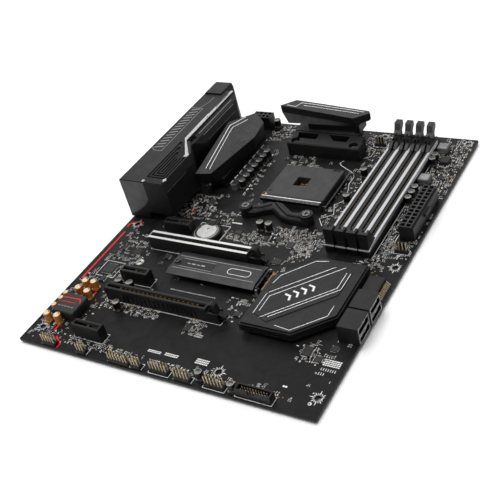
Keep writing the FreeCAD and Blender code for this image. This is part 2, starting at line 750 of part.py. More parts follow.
def make_mosfets():
    chips = [box(47.0, 52.0, 206.0 + i * 8.4, 212.0 + i * 8.4, 0, 1.1) for i in range(8)]
    chips += [box(54.6, 59.6, 206.0 + i * 8.4, 212.0 + i * 8.4, 0, 1.1) for i in range(8)]
    chips += [box(93.0 + i * 8.6, 99.0 + i * 8.6, 286.0, 291.0, 0, 1.1) for i in range(6)]
    return chips


def make_thermal_pads():
    """Soft pads between the chips and their heat sinks."""
    return [box(46.4, 60.6, 204.5, 273.0, 1.1, 2.1), box(92.0, 144.5, 284.5, 292.5, 1.1, 2.1),
            box(181.0, 201.0, 81.0, 101.0, 1.8, 2.7)]


def make_m2_pad():
    return box(86.0, 150.0, shield_y - 9.5, shield_y + 9.5, 3.9, 4.7)


def make_chipset():
    return joined([box(179.0, 203.0, 79.0, 103.0, 0, 0.9), box(183.0, 199.0, 83.0, 99.0, 0.9, 1.8)])


def choke(x, y, size, height):
    body = box(x - size / 2, x + size / 2, y - size / 2, y + size / 2, 0.3, height)
    body = chamfer_top(chamfer_upright(body, 0.6), 0.4)
    feet = [box(x - size / 2 + 1, x + size / 2 - 1, y - size / 2 - 0.3, y - size / 2 + 0.6, 0, 1.6),
            box(x - size / 2 + 1, x + size / 2 - 1, y + size / 2 - 0.6, y + size / 2 + 0.3, 0, 1.6)]
    return joined([body] + feet)


def make_chokes():
    chokes = [choke(70.2, 204.2 + i * 7.7, 6.0, 6.0) for i in range(8)]
    chokes += [choke(221.6, 241.8, 9.0, 5.2), choke(221.4, 285.4, 8.6, 5.2)]
    return chokes


def capacitor(x, y, radius, height):
    """Can capacitor on a square foot, with a rolled groove near its base."""
    foot = chamfer_upright(box(x - radius, x + radius, y - radius, y + radius, 0, 1.0), radius * 0.35)
    can = cylinder(x, y, 1.0, height, radius * 0.94)
    top_edge = [edge for edge in can.Edges if edge.BoundBox.ZMin > height - 1e-4]
    can = can.makeFillet(0.35, top_edge)
    groove = Part.makeTorus(radius * 0.98, 0.28, FreeCAD.Vector(x, y, 2.1))
    return joined([foot, can]).cut(groove)


def make_power_capacitors():
    places = [(76.6, 206.4 + i * 7.4) for i in range(7)]
    places += [(171.6, 240.2), (172.4, 204.6), (119.8, 158.4), (127.6, 158.4), (58.2, 48.4),
               (44.9, 70.1), (55.5, 69.8)]
    places += [(61.4, 298.6)]
    cans = [capacitor(x, y, 3.1, 8.0) for x, y in places]
    slim = [(219.9, 226.4), (219.9, 219.6), (219.9, 212.4), (219.9, 270.6), (219.9, 264.6), (156.6, 7.6),
            (182.6, 5.2)]
    return cans + [capacitor(x, y, 2.7, 7.2) for x, y in slim]


def make_audio_capacitors():
    large = [(18.0, 62.6), (25.6, 63.4), (17.2, 54.6), (27.1, 53.0), (11.0, 23.6), (20.6, 24.0)]
    small = [(8.8, 48.4), (8.8, 42.4), (8.4, 34.6)]
    cans = [capacitor(x, y, 3.0, 7.8) for x, y in large]
    return cans + [capacitor(x, y, 2.3, 6.0) for x, y in small]


def make_audio_cover():
    """Shield can over the audio chip."""
    lid = box(12.0, 33.0, 27.5, 47.5, 0.4, 7.6)
    lid = chamfer_top(chamfer_upright(lid, 1.6), 0.8)
    legs = [box(x, x + 2.0, y, y + 1.0, 0, 0.6) for x in (14.5, 28.5) for y in (27.6, 46.4)]
    return joined([lid] + legs)


def make_chips():
    places = [(22.4, 86.0, 10.0, 10.0, 1.2), (213.8, 50.0, 6.4, 8.4, 1.2), (223.6, 45.4, 5.0, 5.0, 1.0),
              (109.5, 252.0, 5.0, 5.0, 0.9), (104.0, 150.0, 6.0, 4.4, 1.4), (152.0, 146.0, 6.0, 6.0, 0.9),
              (228.0, 270.0, 7.0, 8.0, 3.2)]
    chips = []
    for x, y, width, length, height in places:
        body = box(x - width / 2, x + width / 2, y - length / 2, y + length / 2, 0.1, height)
        chips.append(chamfer_top(body, 0.2))
    return chips


# ---------------------------------------------------------------- battery

def make_battery():
    cell = cylinder(battery_x, battery_y, 1.4, 4.4, 9.9)
    rim = [edge for edge in cell.Edges if edge.BoundBox.ZMin > 4.4 - 1e-4]
    return cell.makeChamfer(0.4, rim)


def make_battery_holder():
    """Round cup with a release gap and a spring finger over the cell."""
    cup = cylinder(battery_x, battery_y, 0, 4.0, 11.6)
    well = cylinder(battery_x, battery_y, 1.2, 9, 10.05)
    gap = box(battery_x - 4.5, battery_x + 4.5, battery_y - 14, battery_y - 7, 1.2, 9)
    shoulders = box(battery_x - 5.0, battery_x + 5.0, battery_y + 8.0, battery_y + 13.4, 0, 4.6)
    finger = box(battery_x - 2.6, battery_x + 2.6, battery_y + 7.2, battery_y + 11.5, 4.5, 5.1)
    shoulders = shoulders.cut(cylinder(battery_x, battery_y, 1.2, 9, 10.05))
    return joined([cup.cut([well, gap]), shoulders, finger])


# ---------------------------------------------------------------- power and data connectors

def make_main_power_socket():
    """Twenty-four way socket with two rows of square cells and a latch ramp."""
    x0, x1 = main_power_x, main_power_x + 9.6
    y0, y1 = main_power_y, main_power_y + 51.6
    body = box(x0, x1, y0, y1, 0, 12.8)
    cells = []
    for row in range(2):
        for column in range(12):
            x = x0 + 2.6 + row * 4.4
            y = y0 + 2.6 + column * 4.22
            cells.append(box(x - 1.75, x + 1.75, y - 1.7, y + 1.7, 3.0, 20))
    wall = box(x1 - 0.6, x1 + 1.3, y0 + 1.0, y1 - 1.0, 0, 11.2)
    ramp = prism_along_y([(x1, 6.0), (x1 + 3.4, 8.0), (x1 + 3.4, 9.6), (x1, 10.6)], y0 + 21.0, y0 + 30.6)
    return joined([body.cut(cells), wall, ramp])


def make_cpu_power_socket():
    """Eight way processor power socket near the rear top corner."""
    x0, x1 = cpu_power_x, cpu_power_x + 18.4
    y0, y1 = cpu_power_y, cpu_power_y + 9.6
    body = box(x0, x1, y0, y1, 0, 12.8)
    cells = []
    for row in range(2):
        for column in range(4):
            x = x0 + 2.7 + column * 4.33
            y = y0 + 2.6 + row * 4.4
            cells.append(box(x - 1.7, x + 1.7, y - 1.7, y + 1.7, 3.0, 20))
    ramp = prism_along_x([(y1, 6.0), (y1 + 2.6, 8.0), (y1 + 2.6, 9.6), (y1, 10.6)], x0 + 6.0, x1 - 6.0)
    return joined([body.cut(cells), ramp])


def make_power_pins():
    pins = []
    for row in range(2):
        for column in range(12):
            x = main_power_x + 2.6 + row * 4.4
            y = main_power_y + 2.6 + column * 4.22
            pins.append(box(x - 0.6, x + 0.6, y - 0.6, y + 0.6, 3.0, 10.4))
        for column in range(4):
            x = cpu_power_x + 2.7 + column * 4.33
            y = cpu_power_y + 2.6 + row * 4.4
            pins.append(box(x - 0.6, x + 0.6, y - 0.6, y + 0.6, 3.0, 10.4))
    return pins


def sata_block(y0):
    """Two right-angle SATA ports, one above the other, facing the front."""
    x0, x1 = 229.6, 244.6
    y1 = y0 + 17.6
    body = box(x0, x1, y0, y1, 0, 14.2)
    body = body.makeChamfer(0.6, [edge for edge in body.Edges if edge.BoundBox.ZMin > 14.1 and
                                  edge.BoundBox.XMax < x0 + 0.1])
    cuts = []
    for z in (1.4, 8.0):
        cuts.append(box(x1 - 7.5, x1 + 1, y0 + 1.5, y1 - 1.5, z, z + 4.8))
        cuts.append(box(x1 - 7.5, x1 + 1, y0 + 1.5, y0 + 4.0, z, z + 5.4))
    body = body.cut(cuts)
    tongues = []
    for z in (1.4, 8.0):
        tongues.append(box(x1 - 8.0, x1 - 1.4, y0 + 3.2, y1 - 3.4, z + 1.5, z + 2.9))
        tongues.append(box(x1 - 8.0, x1 - 1.4, y0 + 3.2, y0 + 4.6, z + 1.5, z + 4.2))
    return joined([body] + tongues)


def make_sata_ports():
    return [sata_block(64.0), sata_block(83.0)]


def make_front_socket():
    """Low right-angle socket on the front edge with a row of contacts."""
    body = box(226.4, 238.4, 105.0, 124.0, 0, 6.0)
    mouth = box(233.0, 240.0, 106.4, 122.6, 1.0, 5.0)
    tongue = box(232.0, 237.4, 108.0, 121.0, 2.5, 3.5)
    return joined([chamfer_top(body, 0.5).cut(mouth), tongue])


def header_base(x, y, columns, rows):
    pitch = 2.54
    body = box(x - pitch / 2, x + (columns - 0.5) * pitch, y - pitch / 2, y + (rows - 0.5) * pitch, 0, 2.5)
    return chamfer_upright(body, 0.5)


def header_places():
    """Column count and row count of each header, at its first pin."""
    return [(23.4, header_y, 5, 2), (56.2, header_y, 3, 2), (84.6, header_y, 7, 2), (104.6, header_y, 3, 2),
            (119.4, header_y + 1.2, 6, 2), (140.2, header_y, 5, 2), (163.2, header_y + 1.2, 6, 2)]


def fan_places():
    """Four-pin fan headers with a locking wall, at their first pin."""
    return [(163.0, 284.4), (231.6, 157.6)]


def make_header_bases():
    bases = [header_base(*place) for place in header_places()]
    for x, y in fan_places():
        base = header_base(x, y, 4, 1)
        wall = box(x + 0.6, x + 7.0, y + 1.27, y + 2.2, 0, 8.0)
        bases.append(joined([base, wall, box(x + 0.6, x + 7.0, y + 0.9, y + 1.3, 0, 2.5)]))
    return bases


def make_header_pins():
    pins = []
    for x, y, columns, rows in header_places() + [(x, y, 4, 1) for x, y in fan_places()]:
        for column in range(columns):
            for row in range(rows):
                px = x + column * 2.54
                py = y + row * 2.54
                pins.append(box(px - 0.32, px + 0.32, py - 0.32, py + 0.32, 2.5, 8.6))
    return pins


def make_usb_header():
    """Shrouded twenty-pin header on the bottom edge."""
    outer = box(186.4, 212.0, 2.2, 8.4, 0, 6.2)
    inner = box(187.5, 210.9, 3.2, 7.4, 1.4, 20)
    notch = box(196.0, 202.0, 1.0, 3.8, 3.6, 20)
    return outer.cut([inner, notch])


def make_usb_header_pins():
    return [box(190.0 + i * 2.0 - 0.22, 190.0 + i * 2.0 + 0.22, y - 0.22, y + 0.22, 1.4, 5.2)
            for i in range(10) for y in (4.3, 6.3)]


def make_front_socket_tails():
    """Soldered contact tails in front of the front edge socket."""
    tails = []
    for index in range(10):
        y = 107.6 + index * 1.7
        profile = [(238.45, 2.6), (240.9, 0.1), (241.3, 0.5), (238.45, 3.2)]
        tails.append(prism_along_y(profile, y, y + 0.7))
    return tails


# ---------------------------------------------------------------- rear ports


def port_shell(y0, y1, z1, windows):
    """Plated steel shell with windows through its outward face."""
    body = box(port_face, 15.0, y0, y1, 0, z1)
    cuts = [box(port_face - 1, 9.0, wy0, wy1, wz0, wz1) for wy0, wy1, wz0, wz1 in windows]
    return body.cut(cuts)


def usb_windows(y0, levels):
    return [(y0 + 0.9, y0 + 14.0, level, level + 5.6) for level in levels]


def make_port_shells():
    shells = [port_shell(176.0, 190.9, 15.4, usb_windows(176.0, (1.4, 8.6)))]
    shells.append(port_shell(193.0, 207.9, 29.6, usb_windows(193.0, (1.4, 8.6)) +
                             [(195.2, 205.9, 17.2, 26.8)]))
    shells.append(port_shell(210.0, 224.9, 29.6, usb_windows(210.0, (1.4, 8.6)) +
                             [(212.2, 222.9, 17.2, 26.8)]))
    shells.append(port_shell(228.0, 243.6, 14.0, [(228.8, 242.8, 3.0, 7.4)]))
    shells.append(port_shell(264.0, 278.9, 15.4, usb_windows(264.0, (1.4, 8.6))))
    return shells


def usb_tongue(y0, level):
    return box(-1.6, 9.0, y0 + 1.9, y0 + 13.0, level + 3.0, level + 4.9)


def make_port_tongues():
    tongues = []
    for y0 in (176.0, 193.0, 210.0, 264.0):
        tongues += [usb_tongue(y0, level) for level in (1.4, 8.6)]
    tongues.append(box(-1.6, 9.0, 230.6, 241.0, 4.5, 5.9))
    return tongues


def make_video_port():
    """Wide monitor socket: a black block with a plated face frame."""
    body = box(port_face + 0.8, 14.0, 245.0, 262.0, 0, 12.6)
    return body.cut(box(port_face - 1, 6.0, 246.6, 260.4, 4.2, 9.8))


def make_keyboard_port():
    """Round port with a stepped socket."""
    body = box(port_face + 0.6, 13.0, 281.0, 295.2, 0, 14.2)
    recess = Part.makeCylinder(5.4, 4.0, FreeCAD.Vector(port_face, 288.1, 7.4), FreeCAD.Vector(1, 0, 0))
    key = box(port_face - 1, 1.0, 286.9, 289.3, 11.6, 13.4)
    return body.cut([recess, key])


def make_audio_jacks():
    """Two columns of three jacks in a moulded block."""
    tower = box(port_face + 1.6, 12.5, 152.2, 174.6, 0, 33.4)
    cuts = []
    necks = []
    for y in (158.0, 168.8):
        for z in (5.6, 16.8, 28.0):
            axis = FreeCAD.Vector(1, 0, 0)
            necks.append(Part.makeCylinder(3.6, 2.2, FreeCAD.Vector(port_face, y, z), axis))
            cuts.append(Part.makeCylinder(1.8, 12.0, FreeCAD.Vector(port_face - 1, y, z), axis))
    return joined([tower] + necks).cut(cuts)


# ---------------------------------------------------------------- rear port cover

def cover_section_near():
    """Cross-section (x, z) beside the audio jacks."""
    return [(-1.4, 0.6), (-1.4, cover_height - 1.0), (-0.4, cover_height), (41.8, cover_height),
            (44.2, 31.0), (44.6, 0.6)]


def cover_section_middle():
    """Cross-section (x, z) beside the rear heat sink."""
    return [(-1.4, 0.6), (-1.4, cover_height - 1.0), (-0.4, cover_height), (24.0, cover_height),
            (27.4, 36.0),
            (31.4, 34.0), (34.8, 28.0), (36.0, 20.0), (36.0, 0.6)]


def cover_section_far():
    """Cross-section (x, z) at the top edge of the board."""
    return [(0.2, 0.6), (0.2, cover_far_height - 1.0), (1.2, cover_far_height), (17.6, cover_far_height),
            (18.8, 36.0), (19.0, 0.6)]


def shrink(points, wall):
    """Inner cross-section of a shell with an open bottom."""
    left = min(x for x, z in points)
    right = max(x for x, z in points)
    middle = (left + right) / 2
    inner = []
    for x, z in points:
        ix = left + wall + (x - left) * (right - left - 2 * wall) / (right - left)
        iz = -1.0 if z < 1.0 else z - wall - 0.05 * abs(x - middle)
        inner.append((ix, iz))
    return inner


def make_port_cover():
    """Moulded shroud over the rear ports, open at the bottom and at the rear."""
    wall = cover_wall
    near_end = 192.0
    middle_start = 213.0
    middle_end = cover_middle_end
    bridge = [(-1.4, near_end - 0.1), (44.4, near_end - 0.1), (31.0, 211.0), (31.0, 222.0), (-1.4, 222.0)]
    outer = [prism_along_y(cover_section_near(), cover_near_y, near_end),
             prism(bridge, 0.6, cover_height).common(prism_along_y(cover_section_near(), 190, 230)),
             prism_along_y(cover_section_middle(), middle_start, middle_end),
             prism_along_y(cover_section_far(), 285.0, cover_far_y)]
    corner = prism([(31.0, middle_start - 0.1), (36.2, middle_start - 0.1), (36.2, 228.0)], -1, 60)
    step = prism([(24.0, 211.0), (31.1, 211.0), (36.2, 228.0), (24.0, 228.0)], 34.2, 60)
    far_slant = prism([(27.2, middle_end), (36.4, 279.0), (40.0, 279.0), (40.0, middle_end + 1),
                       (27.2, middle_end + 1)], -1, 60)
    shell = joined(outer).cut([corner, far_slant, step.common(box(27.6, 40, 211, 222.1, 30, 60))])
    inner_bridge = [(0.2, near_end - 1.0), (42.0, near_end - 1.0), (29.4, 210.0), (29.4, 222.0),
                    (0.2, 222.0)]
    inner = [prism_along_y(shrink(cover_section_near(), wall), cover_near_y + wall, near_end - 0.9),
             prism(inner_bridge, -1, 31.0),
             prism_along_y(shrink(cover_section_middle(), wall), 216.0, middle_end - wall).cut(
                 [prism([(29.4, 215), (40, 215), (40, 234.0)], -2, 60),
                  prism([(26.0, middle_end), (34.4, 277.0), (40.0, 277.0), (40.0, middle_end)], -2, 60)]),
             prism_along_y(shrink(cover_section_far(), wall), middle_end - 4.0, cover_far_y - wall)]
    shell = shell.cut(inner)
    rear_window = box(-5, 5, cover_near_y + wall, cover_far_y - 7, -1, 34.6)
    foot_notch = box(19.0, 60, cover_near_y - 1, 210, -1, 7.0)
    shell = shell.cut([rear_window, foot_notch])
    return shell.cut(cover_grooves())


def cover_grooves():
    """Nested grooves over the audio end of the cover, each with a slanted inner end."""
    grooves = []
    width = 1.3
    floor = cover_height - 1.1
    for index in range(4):
        inset = index * 2.9
        x0 = 22.2 + inset
        x1 = 40.2 - inset * 0.9
        y0 = 157.0 + inset
        far_left = 209.0 - inset * 2.5
        far_right = 190.0 - inset * 0.6
        grooves.append(box(x0, x0 + width, y0, far_left, floor, 60))
        grooves.append(box(x0, x1, y0, y0 + width, floor, 60))
        grooves.append(box(x1 - width, x1, y0, far_right, floor, 60))
        slant = prism([(x0, far_left - 1.2), (x0 + width, far_left), (x1, far_right + width),
                       (x1 - width, far_right - 0.6)],
                      floor, 60)
        grooves.append(slant)
    return grooves


def make_cover_trim():
    """Silver strips laid on the top of the rear port cover."""
    low = cover_height + 0.02
    high = cover_height + 0.5
    strip = prism([(23.6, 214.0), (26.8, 211.6), (26.8, 229.0), (26.0, 292.8), (23.8, 292.8),
                   (23.8, 254.0), (23.0, 252.0)],
                  low, high)
    slant = prism([(23.6, 214.0), (26.8, 211.6), (41.2, 192.4), (39.2, 190.0)], low, high)
    nose = box(38.2, 41.6, 188.8, 192.6, low, high)
    corner_stud = prism([(39.6, 155.4), (41.4, 152.8), (43.2, 155.4), (41.4, 158.2)], low, high)
    studs = [corner_stud, box(21.8, 24.2, 150.3, 152.6, low, high)]
    return [joined([strip, slant, nose])] + studs


def main():
    os.makedirs("parts", exist_ok=True)
    save("pcb", make_board())
    save("solder_joints", make_solder())
    save("cpu_backplate", make_backplate())
    save("cpu_socket_base", make_socket_base())
    save("cpu_socket_contacts", make_socket_contacts())
    save("cpu_socket_cam_plate", make_cam_plate())
    save("cpu_socket_cover", make_socket_cover())
    save("cpu_socket_lever", make_socket_lever())
    save("cooler_bracket_bottom", make_bottom_bracket())
    save("cooler_bracket_top", make_top_bracket())
    save("bracket_screws", make_bracket_screws())
    for index in range(dimm_count):
        save("dimm_slot_" + str(index + 1), make_dimm_slot(index))
        save("dimm_latch_" + str(index + 1), make_dimm_latch(index))
    save("dimm_armour", make_dimm_armour())
    save("pcie_x16_main_slot", make_long_slot(main_slot_y))
    save("pcie_x16_main_armour", make_slot_armour(main_slot_y))
    save("pcie_x16_second_slot", make_long_slot(second_slot_y))
    save("pcie_latch_main", make_slot_latch(main_slot_y))
    save("pcie_latch_second", make_slot_latch(second_slot_y))
    save("pcie_x1_slots", [slot_body(y, short_slot_length) for y in short_slot_rows])
    save("slot_contacts", make_slot_contacts())
    save("m2_socket", make_m2_socket())
    save("m2_hinge_bracket", make_m2_hinge() + [make_m2_standoff()])
    save("m2_shield", make_m2_shield())
    save("m2_shield_screw", make_m2_screw())
    save("m2_thermal_pad", make_m2_pad())
    save("chipset", make_chipset())
    save("chipset_heatsink", make_chipset_heatsink())
    save("rear_vrm_heatsink", make_rear_heatsink())
    save("top_vrm_heatsink", make_top_heatsink())
    save("heatsink_screws", make_sink_screws())
    save("power_stage_chips", make_mosfets())
    save("thermal_pads", make_thermal_pads())
    save("power_chokes", make_chokes())
    save("power_capacitors", make_power_capacitors())
    save("audio_capacitors", make_audio_capacitors())
    save("audio_chip_shield", make_audio_cover())
    save("controller_chips", make_chips())
    save("battery_cell", make_battery())
    save("battery_holder", make_battery_holder())
    save("main_power_socket", make_main_power_socket())
    save("cpu_power_socket", make_cpu_power_socket())
    save("power_socket_pins", make_power_pins())
    save("sata_ports", make_sata_ports())
    save("front_edge_socket", make_front_socket())
    save("pin_header_bases", make_header_bases() + [make_usb_header()])
    save("pin_header_pins", make_header_pins() + make_usb_header_pins() + make_m2_contacts() +
         make_front_socket_tails())
    save("rear_port_shells", make_port_shells())
    save("rear_port_tongues", make_port_tongues())
    save("video_and_keyboard_ports", [make_video_port(), make_keyboard_port()])
    save("audio_jack_block", make_audio_jacks())
    save("rear_port_cover", make_port_cover())
    save("rear_cover_trim", make_cover_trim())


main()
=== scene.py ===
"""The motherboard's looks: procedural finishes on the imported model, plus the fine parts that sit on it.

Positions are in board millimetres: x runs from the rear edge to the front edge, y from the bottom
edge to the top edge, and z is the height over the side that carries the components.
"""

import json
import math
import random

import bmesh
import bpy
from mathutils import Matrix, Vector
from mathutils.bvhtree import BVHTree


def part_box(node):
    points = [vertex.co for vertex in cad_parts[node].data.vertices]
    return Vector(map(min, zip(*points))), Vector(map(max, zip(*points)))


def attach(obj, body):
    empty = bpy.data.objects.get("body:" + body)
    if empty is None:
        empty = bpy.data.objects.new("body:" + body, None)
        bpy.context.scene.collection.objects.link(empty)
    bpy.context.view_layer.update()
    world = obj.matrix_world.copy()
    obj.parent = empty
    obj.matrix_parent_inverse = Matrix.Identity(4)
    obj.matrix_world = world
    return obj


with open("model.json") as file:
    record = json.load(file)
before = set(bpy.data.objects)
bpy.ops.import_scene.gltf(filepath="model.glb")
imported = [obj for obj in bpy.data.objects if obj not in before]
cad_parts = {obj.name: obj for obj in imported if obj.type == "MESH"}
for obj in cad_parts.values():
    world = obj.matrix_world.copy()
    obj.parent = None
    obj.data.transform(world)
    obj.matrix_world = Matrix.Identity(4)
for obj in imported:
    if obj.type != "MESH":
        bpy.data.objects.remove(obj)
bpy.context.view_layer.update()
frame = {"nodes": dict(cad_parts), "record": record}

MM = 0.001
THICKNESS = 1.6
ORIGIN = Vector((10.16, 16.51, -THICKNESS))   # the frame's origin in board millimetres
BOARD_X, BOARD_Y = 243.8, 304.8

# ---- places


def place(x, y, z):
    """A point in board millimetres, as metres in the frame."""
    return (Vector((x, y, z)) - ORIGIN) * MM


def tree_of(names):
    """One search tree over the meshes of the named CAD nodes."""
    points, faces = [], []
    for name in names:
        mesh = frame["nodes"][name].data
        first = len(points)
        points += [v.co.copy() for v in mesh.vertices]
        faces += [tuple(first + i for i in p.vertices) for p in mesh.polygons]
    return BVHTree.FromPolygons(points, faces)


trees = {}


def height(node, x, y, otherwise):
    """How high a CAD node's top is at x, y, in board millimetres."""
    if node not in trees:
        trees[node] = tree_of([node])
    hit = trees[node].ray_cast(place(x, y, 90), Vector((0, 0, -1)))[0]
    return otherwise if hit is None else hit.z / MM + ORIGIN.z


def solids(node):
    """The separate solids of a CAD node, each as its low and high corner in board millimetres."""
    copy = bmesh.new()
    copy.from_mesh(frame["nodes"][node].data)
    bmesh.ops.remove_doubles(copy, verts=copy.verts, dist=1e-6)
    left, boxes = set(copy.verts), []
    while left:
        waiting, corners = [left.pop()], []
        while waiting:
            vertex = waiting.pop()
            corners.append(vertex.co / MM + ORIGIN)
            beside = {edge.other_vert(vertex) for edge in vertex.link_edges} & left
            left -= beside
            waiting += beside
        boxes.append((Vector([min(p[k] for p in corners) for k in range(3)]),
                      Vector([max(p[k] for p in corners) for k in range(3)])))
    copy.free()
    return sorted(boxes, key=lambda box: (round(box[0].x, 2), round(box[0].y, 2)))


def round_solids(node):
    """The upright round solids of a CAD node, each as its centre's x and y, its radius and its top."""
    return [((low.x + high.x) / 2, (low.y + high.y) / 2, (high.x - low.x) / 2, high.z)
            for low, high in solids(node)]


def box_of(node):
    """A CAD node's low and high corner in board millimetres."""
    return [Vector(corner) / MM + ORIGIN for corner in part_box(node)]


def spots_along(a, b, parts):
    """The points that cut the line from a to b into equal parts, with both ends."""
    return [(a[0] + (b[0] - a[0]) * i / parts, a[1] + (b[1] - a[1]) * i / parts) for i in range(parts + 1)]


def arc(x, y, radius, start, sweep, steps):
    """The points of an arc round x, y, which runs on sweep degrees from start, with both ends."""
    angles = [math.radians(start + sweep * i / steps) for i in range(steps + 1)]
    return [(x + radius * math.cos(a), y + radius * math.sin(a)) for a in angles]


def framed(low, high, gap_x, gap_y):
    """A rectangle round a box, clear of it by the gaps."""
    x0, y0, x1, y1 = low.x - gap_x, low.y - gap_y, high.x + gap_x, high.y + gap_y
    return [(x0, y0), (x1, y0), (x1, y1), (x0, y1), (x0, y0)]


not_on_top = ("pcb", "solder_joints", "cpu_backplate")
everything_else = tree_of([name for name in frame["nodes"] if name not in not_on_top])


def open_board(x, y, tall):
    """Whether nothing stands on the board at x, y, or hangs lower over it than tall."""
    if not (1 < x < BOARD_X - 1 and 1 < y < BOARD_Y - 1):
        return False
    hit, normal, _, far = everything_else.ray_cast(place(x, y, 0.02), Vector((0, 0, 1)))
    return hit is None or (normal.z < 0 and far > tall * MM)


NINE_SPOTS = [(i, j) for i in (-1, 0, 1) for j in (-1, 0, 1)]


def room_for(x, y, reach_x, reach_y, tall=1.4):
    """Whether the rectangle round x, y is open board."""
    return all(open_board(x + i * reach_x, y + j * reach_y, tall) for i, j in NINE_SPOTS)


# ---- meshes


def put(name, data):
    """A new object in the scene."""
    made = bpy.data.objects.new(name, data)
    bpy.context.scene.collection.objects.link(made)
    return made


class Shape:
    """Faces in board millimetres, gathered into one mesh piece."""

    def __init__(self):
        """A shape with nothing in it yet."""
        self.points = []
        self.faces = []

    def add(self, points, faces):
        """More points, and faces that count from the first of them."""
        first = len(self.points)
        self.points += points
        self.faces += [tuple(first + i for i in face) for face in faces]

    def prism(self, outline, low, high, bevel=0.0):
        """A solid over a convex outline that runs anticlockwise, with its top edge cut back by bevel."""
        count = len(outline)
        middle = [sum(p[i] for p in outline) / count for i in (0, 1)]
        rings = [(low, 0.0), (high - bevel, 0.0), (high, bevel)] if bevel else [(low, 0.0), (high, 0.0)]
        points = []
        for z, cut in rings:
            for x, y in outline:
                far = max(math.hypot(x - middle[0], y - middle[1]), 1e-6)
                keep = 1 - cut / far
                points.append((middle[0] + (x - middle[0]) * keep, middle[1] + (y - middle[1]) * keep, z))
        faces = [tuple(range(count))[::-1], tuple(range((len(rings) - 1) * count, len(rings) * count))]
        for r in range(len(rings) - 1):
            for i in range(count):
                j = (i + 1) % count
                faces.append((r * count + i, r * count + j, (r + 1) * count + j, (r + 1) * count + i))
        self.add(points, faces)

    def block(self, x, y, size_x, size_y, low, high, turn=0.0, bevel=0.0):
        """A block round x, y, turned about the upright axis by turn degrees."""
        c, s = math.cos(math.radians(turn)), math.sin(math.radians(turn))
        corners = [(-1, -1), (1, -1), (1, 1), (-1, 1)]
        outline = []
        for i, j in corners:
            u, v = i * size_x / 2, j * size_y / 2
            outline.append((x + u * c - v * s, y + u * s + v * c))
        self.prism(outline, low, high, bevel)

    def disc(self, x, y, radius, low, high, sides=12, bevel=0.0):
        """An upright disc."""
        self.prism(arc(x, y, radius, 0, 360, sides)[:-1], low, high, bevel)

    def ring(self, x, y, inner, outer, low, high, sides=32, start=0.0, sweep=360.0):
        """A flat ring, or the part of one that sweep says."""
        path = arc(x, y, (inner + outer) / 2, start, sweep, max(2, int(sides * sweep / 360)))
        self.line(path, outer - inner, low, high, closed=sweep >= 360)

    def line(self, path, width, low, high, closed=False):
        """A strip of that width along a path, with mitred corners."""
        if closed and math.dist(path[0], path[-1]) < 1e-6:
            path = path[:-1]
        points = []
        for left, right in mitred(path, width, closed):
            points += [(*left, low), (*right, low), (*right, high), (*left, high)]
        self.strip(points, closed)

    def strip(self, points, closed=False):
        """A strip of four-cornered section, with four points for each step along it."""
        count = len(points) // 4
        faces = []
        for i in range(count if closed else count - 1):
            a, b = 4 * i, 4 * ((i + 1) % count)
            faces += [(a + k, b + k, b + (k + 1) % 4, a + (k + 1) % 4) for k in range(4)]
        if not closed:
            faces += [(3, 2, 1, 0), tuple(4 * (count - 1) + k for k in range(4))]
        self.add(points, faces)

    def inlay(self, node, path, width, rise=0.06):
        """A strip that follows the top of a CAD node, sunk into it, and stands rise over it."""
        step, sink = 2.0, 0.25
        fine = [path[0]]
        for a, b in zip(path, path[1:]):
            fine += spots_along(a, b, max(1, math.ceil(math.dist(a, b) / step)))[1:]
        points = []
        for left, right in mitred(fine, width, False):
            middle = ((left[0] + right[0]) / 2, (left[1] + right[1]) / 2)
            z_mid = height(node, *middle, 0.0)
            zs = [height(node, *p, z_mid) for p in (left, right)]
            zs = [z if abs(z - z_mid) < 0.6 * width else z_mid for z in zs]
            points += [(*left, zs[0] - sink), (*right, zs[1] - sink),
                       (*right, zs[1] + rise), (*left, zs[0] + rise)]
        self.strip(points)

    def upright(self, outline, near, far):
        """A solid over an outline of (x, z) points, from near to far along y."""
        count = len(outline)
        points = [(x, near, z) for x, z in outline] + [(x, far, z) for x, z in outline]
        faces = [tuple(range(count)), tuple(range(count, 2 * count))[::-1]]
        faces += [(i, count + i, count + (i + 1) % count, (i + 1) % count) for i in range(count)]
        self.add(points, faces)

    def open_line(self, path, width, rise):
        """A printed strip along a path, left out wherever something stands on the board."""
        run = []
        for a, b in zip(path, path[1:]):
            for spot in spots_along(a, b, max(1, round(math.dist(a, b) / 1.2))):
                if open_board(*spot, 0.5):
                    if not run or math.dist(run[-1], spot) > 1e-6:
                        run.append(spot)
                    continue
                if len(run) > 1:
                    self.line(run, width, 0.0, rise)
                run = []
        if len(run) > 1:
            self.line(run, width, 0.0, rise)

    def piece(self, name, slot, material, body="board"):
        """The finished piece, riding on a body."""
        mesh = bpy.data.meshes.new(name)
        mesh.from_pydata([place(*p) for p in self.points], [], self.faces)
        mesh.validate()
        mesh.update()
        mesh.materials.append(material)
        made = put(name, mesh)
        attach(made, body)


def mitred(path, width, closed):
    """The left and right edge points of a strip along a path."""
    count = len(path)
    edges = []
    for i, here in enumerate(path):
        before = path[i - 1] if i or closed else None
        after = path[(i + 1) % count] if i < count - 1 or closed else None
        ways = []
        if before is not None:
            ways.append(Vector((here[0] - before[0], here[1] - before[1])).normalized())
        if after is not None:
            ways.append(Vector((after[0] - here[0], after[1] - here[1])).normalized())
        way = sum(ways, Vector((0, 0))).normalized()
        across = Vector((-way.y, way.x))
        stretch = 1 / max(0.4, across.dot(Vector((-ways[0].y, ways[0].x))))
        reach = across * (width / 2 * stretch)
        edges.append(((here[0] + reach.x, here[1] + reach.y), (here[0] - reach.x, here[1] - reach.y)))
    return edges


# ---- finishes


